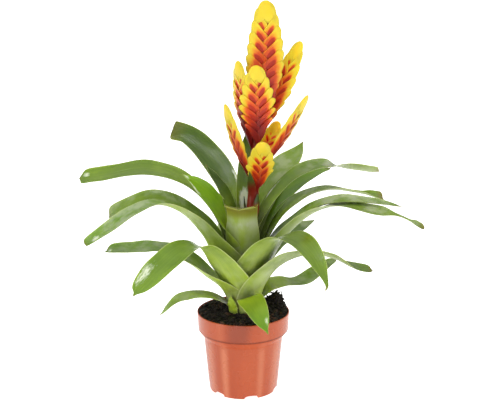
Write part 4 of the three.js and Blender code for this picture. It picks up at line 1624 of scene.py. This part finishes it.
@dataclass
class FlowerStalk:
    """The stalk that carries the spikes, with its clasping bracts."""

    line: tuple[tuple[float, float, float, float], ...] = (
        (4, 0, 198.4, 6.5), (10, 0, 228, 7.2), (13, 0, 262, 7), (14, 0, 300, 6), (16, 1, 340, 4.2),
    )
    clasps: tuple[ClaspPlan, ...] = (
        ClaspPlan((13, 0, 252), -100, 45, 13, 20),
        ClaspPlan((12, 0, 230), -50, 34, 15, 2.4),
        ClaspPlan((10, 0, 222), 165, 36, 12, 1.6),
    )
    widest_wrap: float = 1.2
    bract_thickness: float = 0.8
    finish: StalkFinish = StalkFinish()

    def centre(self, height: float) -> np.ndarray:
        """Middle of the stalk at a height."""
        x, y, z, _ = np.array(self.line).T
        return np.array([np.interp(height, z, x), np.interp(height, z, y), height])

    def clasp(self, skin: Skin, plan: ClaspPlan, columns: int = 13) -> None:
        """Adds one clasping bract.

        Args:
            skin: The mesh that it joins.
            plan: Its place and sizes.
            columns: How many points lie across each of its faces.
        """
        share = np.linspace(0, 1, 28)
        reach = monotone(((0, 5.5), (0.3, 7.9), (0.6, 8 + 0.42 * plan.lean), (1, 7.6 + plan.lean)), share)
        spread = monotone(((0, 0.6), (0.3, 1), (0.65, 0.7), (0.88, 0.3), (1, 0.03)), share) * plan.width / 2
        side = np.concatenate([np.linspace(-1, 1, columns), np.linspace(1, -1, columns)[1:-1]])
        face = np.concatenate([np.ones(columns), -np.ones(columns - 2)])
        face[0] = face[columns - 1] = 0
        wrap = np.minimum(spread / np.maximum(reach, 1), self.widest_wrap)
        radius = reach[:, None] + self.bract_thickness / 2 * face[None, :]
        angle = math.radians(plan.azimuth) + side[None, :] * wrap[:, None]
        x = plan.at[0] + radius * np.cos(angle)
        y = plan.at[1] + radius * np.sin(angle)
        z = np.broadcast_to((plan.at[2] + share * plan.length)[:, None], x.shape)
        sheath = np.broadcast_to(0.1 + 0.9 * share[:, None], x.shape)
        skin.add_rings(np.stack([x, y, z], axis=-1), rise=z, sheath=sheath)

    def build(self, sides: int = 28) -> bpy.types.Object:
        """Builds and dresses the stalk.

        Args:
            sides: How many sides the stalk has.

        Returns:
            The stalk's object.
        """
        skin = Skin()
        x, y, height, radius = np.array(self.line).T
        z = np.linspace(height[0], height[-1], 60)
        points = np.stack([np.interp(z, height, x), np.interp(z, height, y), z], axis=1)
        radii = np.interp(z, height, radius) * (1 + 0.02 * np.sin(z * 0.8))
        tube(skin, points, radii, sides, rise=np.broadcast_to(z[:, None], (len(z), sides)), sheath=0.0)
        for plan in self.clasps:
            self.clasp(skin, plan)
        return seat(skin.build("flower_stalk"), self.finish.material(), "scape", "scape")


# ---------------------------------------------------------------- flower spikes


@dataclass(frozen=True)
class SpikePlan:
    """One flat spike: its ends, the azimuth that its flat faces, and its sizes.

    The depth is how far a bract stands out of the spike's middle plane. The bow and the sway bend the axis out of
    the flat and across it. The pairs are its bracts in each rank. The flush leaves less of it red, or more where
    it is below 0, the flare spreads the lower bracts' tips, and the painted light makes the whole spike lighter
    where it sits in the other spikes' shade.
    """

    name: str
    foot: tuple[float, float, float]
    tip: tuple[float, float, float]
    azimuth: float
    width: float
    depth: float
    bow: float
    pairs: int
    flush: float = 0.0
    flare: float = 0.1
    # painted light, for spikes that sit in the other spikes' shade
    bright: float = 0.0
    sway: float = 0.0


@dataclass
class Spike:
    """A flower spike: boat-shaped bracts in two ranks that overlap like scales."""

    plan: SpikePlan
    stalk: FlowerStalk
    reach: float = 2.9
    thickness: float = 0.75
    seam: float = 0.05
    crown: float = 0.8
    rows: int = 22
    columns: int = 11
    outline: tuple[tuple[float, float], ...] = (
        (0, 0.24), (0.14, 0.42), (0.26, 0.56), (0.38, 0.72), (0.48, 0.9), (0.57, 0.97), (0.7, 0.91), (0.82, 0.75),
        (0.92, 0.56), (0.965, 0.42), (0.99, 0.26), (1, 0.1),
    )
    # across, up and depth along a bract's keel and along its free margin, by share from root to tip
    keel: tuple[tuple[float, float, float], ...] = (
        (0, 0, 0), (0.3, 0.52, 0.17), (0.55, 0.9, 0.42), (0.74, 0.99, 0.7), (0.87, 1.05, 0.88), (0.95, 0.98, 0.97),
        (1, 0.84, 1.0),
    )
    margin: tuple[tuple[float, float, float, float], ...] = (
        (0, 0, 0.02, 0.15), (0.3, -0.1, 0.34, 0.8), (0.5, -0.13, 0.52, 1.0), (0.66, 0.16, 0.69, 0.97),
        (0.82, 0.5, 0.86, 0.8), (0.93, 0.72, 0.97, 0.5), (1, 0.82, 1.0, 0.14),
    )
    face: np.ndarray = field(init=False)
    ends: tuple[np.ndarray, ...] = field(init=False)
    length: float = field(init=False)

    def __post_init__(self) -> None:
        """Works out the spike's own axes."""
        plan = self.plan
        foot, tip = np.array(plan.foot, float), np.array(plan.tip, float)
        self.face = polar(plan.azimuth, 1, 0)
        aside = np.cross((0, 0, 1), self.face)
        self.ends = foot, foot + 0.45 * (tip - foot) + plan.bow * self.face + plan.sway * aside, tip
        strides = np.diff(self.bezier(np.linspace(0, 1, 201)), axis=0)
        self.length = float(np.linalg.norm(strides, axis=1).sum())

    def bezier(self, t: np.ndarray) -> np.ndarray:
        """Points on the spike's axis.

        Args:
            t: Places from 0 at the foot to 1 at the tip.

        Returns:
            One point for each place.
        """
        a, b, c = self.ends
        t = np.asarray(t)[..., None]
        return a * (1 - t) ** 2 + 2 * b * t * (1 - t) + c * t**2

    def place(self, across: np.ndarray, height: np.ndarray, depth: np.ndarray) -> np.ndarray:
        """Points of the spike.

        Args:
            across: Distance across its flat.
            height: Distance up it.
            depth: Distance out of its flat.

        Returns:
            Points in the plant's frame.
        """
        t = np.clip(height / self.length, 0, 1)
        a, b, c = self.ends
        tangent = unit((b - a) * (1 - t)[..., None] + (c - b) * t[..., None])
        normal = unit(self.face - tangent * (tangent @ self.face)[..., None])
        side = np.cross(tangent, normal)
        along = self.bezier(t) + tangent * (height - t * self.length)[..., None]
        return along + side * np.asarray(across)[..., None] + normal * np.asarray(depth)[..., None]

    def half_width(self, height: np.ndarray) -> np.ndarray:
        """Half width of the spike at heights."""
        return self.plan.width / 2 * monotone(self.outline, height / self.length)

    def bract(self, skin: Skin, root: float, length: float, depth: float, hand: int, spacing: float) -> None:
        """Adds one bract.

        Args:
            skin: The mesh that it joins.
            root: Where its foot is, up the spike.
            length: Its length.
            depth: How far its free margin stands out of the spike's middle plane.
            hand: 1 for the right rank and -1 for the left.
            spacing: Distance between bracts of one rank.
        """
        p, q = np.linspace(0, 1, self.rows), np.linspace(0, 1, self.columns + 1)
        keel, free = curves(self.keel, p), curves(self.margin, p)
        loop = np.concatenate([q, q[-2:0:-1], q, q[-2:0:-1]])
        n = self.columns
        face = np.concatenate([np.ones(2 * n), -np.ones(2 * n)])
        inner = np.concatenate([np.zeros(n + 1), np.ones(n - 1)] * 2)
        face[0] = face[2 * n] = 0
        across = keel[:, :1] + (free[:, :1] - keel[:, :1]) * loop
        up = keel[:, 1:] + (free[:, 1:2] - keel[:, 1:]) * loop
        swell = 0.9 * loop**0.75 + 0.1 * loop**5
        sheet = self.thickness * np.minimum(loop * 4, 1) * (1 - 0.4 * loop)
        out = face * np.maximum(free[:, 2:] * depth * swell - inner * sheet, self.seam * (loop > 0))
        height = root + up * length
        crown = (root + self.crown * length) / self.length
        flare = 1 + self.plan.flare * (1 - crown) * smoothstep(0.55, 1, up)
        points = self.place(hand * across * flare * self.half_width(height), height, out)
        line = monotone([(m[1], m[2]) for m in self.margin[2:]], across)
        skin.add_rings(points, out=across, above=(line - up) * length / spacing, rise=height / self.length,
                       flush=self.plan.flush, bright=self.plan.bright)

    def bud(self, skin: Skin) -> None:
        """Adds the closed bud at the tip.

        Args:
            skin: The mesh that it joins.
        """
        start = float(np.interp(self.plan.pairs, (4, 6, 10), (0.7, 0.78, 0.83)))
        share = np.linspace(start, 1, 26)
        height = share * self.length
        wide = 0.9 * self.half_width(height)
        deep = 0.7 * self.plan.depth * monotone(((start, 0.3), (0.91, 1), (0.97, 0.7), (1, 0.2)), share)
        angles = around(32)
        across = wide[:, None] * np.cos(angles)
        out = deep[:, None] * np.sin(angles) * np.abs(np.sin(angles)) ** 0.2
        points = self.place(across, np.broadcast_to(height[:, None], across.shape), out)
        skin.add_rings(points, out=1.0, above=0.3, rise=1.0, flush=0.0, bright=self.plan.bright)

    def branch(self, skin: Skin) -> None:
        """Adds the short stalk from the flower stalk to the spike's foot.

        Args:
            skin: The mesh that it joins.
        """
        start = self.stalk.centre(self.plan.foot[2] - 8)
        end = np.array(self.plan.foot, float)
        points = np.array([start + (end - start) * k for k in np.linspace(0, 1.05, 8)])
        tube(skin, points, np.linspace(2.4, 1.8, 8), 14, out=0.2, above=0.3, rise=0.0, flush=0.0, bright=0.0)

    def build(self, material: bpy.types.Material) -> bpy.types.Object:
        """Builds and dresses the spike.

        Args:
            material: The finish that all spikes share.

        Returns:
            The spike's object.
        """
        plan = self.plan
        skin = Skin()
        self.bud(skin)
        self.branch(skin)
        spacing = self.length / (plan.pairs + self.reach - 0.4)
        for i in range(2 * plan.pairs):
            root = i * spacing / 2
            length = min(self.reach * spacing, self.length - root)
            crown = (root + self.crown * length) / self.length
            depth = plan.depth * (1 - 0.5 * float(smoothstep(0.6, 1, np.array(crown))))
            self.bract(skin, root, length, depth, 1 if i % 2 else -1, spacing)
        return seat(skin.build(plan.name.replace("spike", "flowers")), material, "bract", plan.name)


SPIKES = (
    SpikePlan(
        name="spike_main", foot=(19.5, 1, 336), tip=(28, 3, 504), azimuth=-90, width=46.5, depth=4.2, bow=0, pairs=10,
        flush=-0.07, flare=0.05, sway=6,
    ),
    SpikePlan(
        name="spike_front", foot=(20, -5, 322), tip=(15.5, -34, 429), azimuth=-86, width=38, depth=3.8, bow=6,
        pairs=6, flush=-0.05, flare=0.5,
    ),
    SpikePlan(
        name="spike_left", foot=(12, -2, 318), tip=(-6, -4, 431), azimuth=216, width=38, depth=3.4, bow=5, pairs=6,
        flush=-0.04, flare=0.2,
    ),
    SpikePlan(
        name="spike_right", foot=(15, 4, 330), tip=(72.5, 26, 452), azimuth=58, width=31, depth=3.6, bow=6, pairs=6,
        flush=0.02, flare=0.2, bright=0.25,
    ),
    SpikePlan(
        name="spike_low_front", foot=(18, -5, 264), tip=(24, -37, 336), azimuth=-84, width=33, depth=3.2, bow=5,
        pairs=4, flush=0.08, flare=0.2,
    ),
    SpikePlan(
        name="spike_low_left", foot=(14, -2, 272), tip=(-22, -8, 378), azimuth=213, width=30, depth=3, bow=5, pairs=5,
        flare=0.15,
    ),
    SpikePlan(
        name="spike_low_right", foot=(18, -1, 287), tip=(80.5, -4, 388.5), azimuth=-30, width=30, depth=3, bow=4,
        pairs=5, flare=0.15,
    ),
    SpikePlan(
        name="spike_back", foot=(18, 5, 296), tip=(45, 24, 351), azimuth=74, width=24, depth=3, bow=3, pairs=4,
        flush=0.12, flare=0.15, bright=1.0,
    ),
)


# ---------------------------------------------------------------- studio


@dataclass(frozen=True)
class Lamp:
    """A soft light: its place and its width and height in metres, and its power in watts."""

    name: str
    place: tuple[float, float, float]
    size: tuple[float, float]
    power: float


@dataclass
class Studio:
    """White studio: pale floor, soft lights and the camera.

    The eye is in millimetres and the pitch in degrees below level. Behind is the room's brightness behind the
    camera and at the back, and above is what is added low down and overhead.
    """

    eye: tuple[float, float, float] = (8.8, -1340.0, 583.0)
    pitch: float = 13.8
    lens: float = 78.1
    behind: tuple[float, float] = (0.28, 0.18)
    above: tuple[float, float] = (0.12, 0.7)
    aim: tuple[float, float, float] = (0, 0, 0.25)
    lamps: tuple[Lamp, ...] = (
        Lamp("left_box", (-1.25, -0.85, 0.6), (0.3, 1.0), 5.8),
        Lamp("right_box", (1.25, -0.9, 0.6), (0.3, 1.0), 5.8),
        Lamp("front_box", (-0.3, -1.6, 0.9), (0.5, 0.4), 2.5),
        Lamp("top_box", (-0.3, -0.45, 1.8), (0.4, 0.3), 5),
    )
    finish: StudioFinish = StudioFinish()

    def camera(self) -> None:
        """Sets up the camera."""
        data = bpy.data.cameras.new("camera")
        data.lens = self.lens
        data.sensor_width = 36
        data.clip_end = 30
        eye = bpy.data.objects.new("camera", data)
        eye.location = Vector(self.eye) * MM
        eye.rotation_euler = (math.radians(90 - self.pitch), 0, 0)
        bpy.context.scene.collection.objects.link(eye)
        bpy.context.scene.camera = eye

    def lights(self) -> None:
        """Hangs the lights so that they look at the plant, and keeps colours as they are."""
        for lamp in self.lamps:
            data = bpy.data.lights.new(lamp.name, "AREA")
            data.shape = "RECTANGLE"
            data.size, data.size_y = lamp.size
            data.energy = lamp.power
            light = bpy.data.objects.new(lamp.name, data)
            light.location = lamp.place
            light.rotation_euler = (Vector(self.aim) - Vector(lamp.place)).to_track_quat("-Z", "Y").to_euler()
            bpy.context.scene.collection.objects.link(light)
        bpy.context.scene.view_settings.view_transform = "Standard"

    def room(self) -> None:
        """Makes the room: white light that is brightest overhead and dimmest behind the plant."""
        room = bpy.data.worlds.new("room")
        room.use_nodes = True
        nodes, links = room.node_tree.nodes, room.node_tree.links
        split = nodes.new("ShaderNodeSeparateXYZ")
        links.new(nodes.new("ShaderNodeTexCoord").outputs["Generated"], split.inputs[0])
        parts = []
        for axis, *ends in (("Y", -0.5, 0.6, *self.behind), ("Z", 0.22, 0.8, *self.above)):
            step = nodes.new("ShaderNodeMapRange")
            step.interpolation_type = "SMOOTHSTEP"
            links.new(split.outputs[axis], step.inputs["Value"])
            for key, value in zip(("From Min", "From Max", "To Min", "To Max"), ends):
                step.inputs[key].default_value = value
            parts.append(step.outputs[0])
        total = nodes.new("ShaderNodeMath")
        links.new(parts[0], total.inputs[0])
        links.new(parts[1], total.inputs[1])
        links.new(total.outputs[0], nodes["Background"].inputs["Strength"])
        nodes["Background"].inputs["Color"].default_value = (1, 1, 1, 1)
        bpy.context.scene.world = room

    def floor(self) -> None:
        """Lays the pale floor."""
        skin = Skin()
        near, far, wide = -6000.0, 22000.0, 16000.0
        skin.add(np.array([(x, y, -0.2) for y in (near, far) for x in (-wide, wide)]), [[0, 1, 3, 2]])
        floor = skin.build("floor", outward=False)
        floor.data.materials.append(self.finish.material())

    def build(self) -> None:
        """Builds the studio."""
        self.camera()
        self.lights()
        self.room()
        self.floor()


# ---------------------------------------------------------------- the plant in its pot


def corners(box: tuple[Vector, Vector]) -> list[list[float]]:
    """A box as plain lists of numbers."""
    return [list(corner) for corner in box]


def main() -> None:
    """Builds the pieces in order; each one's face count goes to the log."""
    logging.basicConfig(level=logging.INFO, format="%(name)s %(message)s")
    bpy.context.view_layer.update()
    pot = Pot()
    pot.build()
    Peat(pot).build()
    stock = Stock()
    stock.build()
    green = LeafFinish().material()
    for number, plan in enumerate(LEAVES, 1):
        Leaf(plan, number, stock).build(green)
    stalk = FlowerStalk()
    stalk.build()
    flame = BractFinish().material()
    for plan in SPIKES:
        Spike(plan, stalk).build(flame)
    Studio().build()


if __name__ == "__main__":
    main()
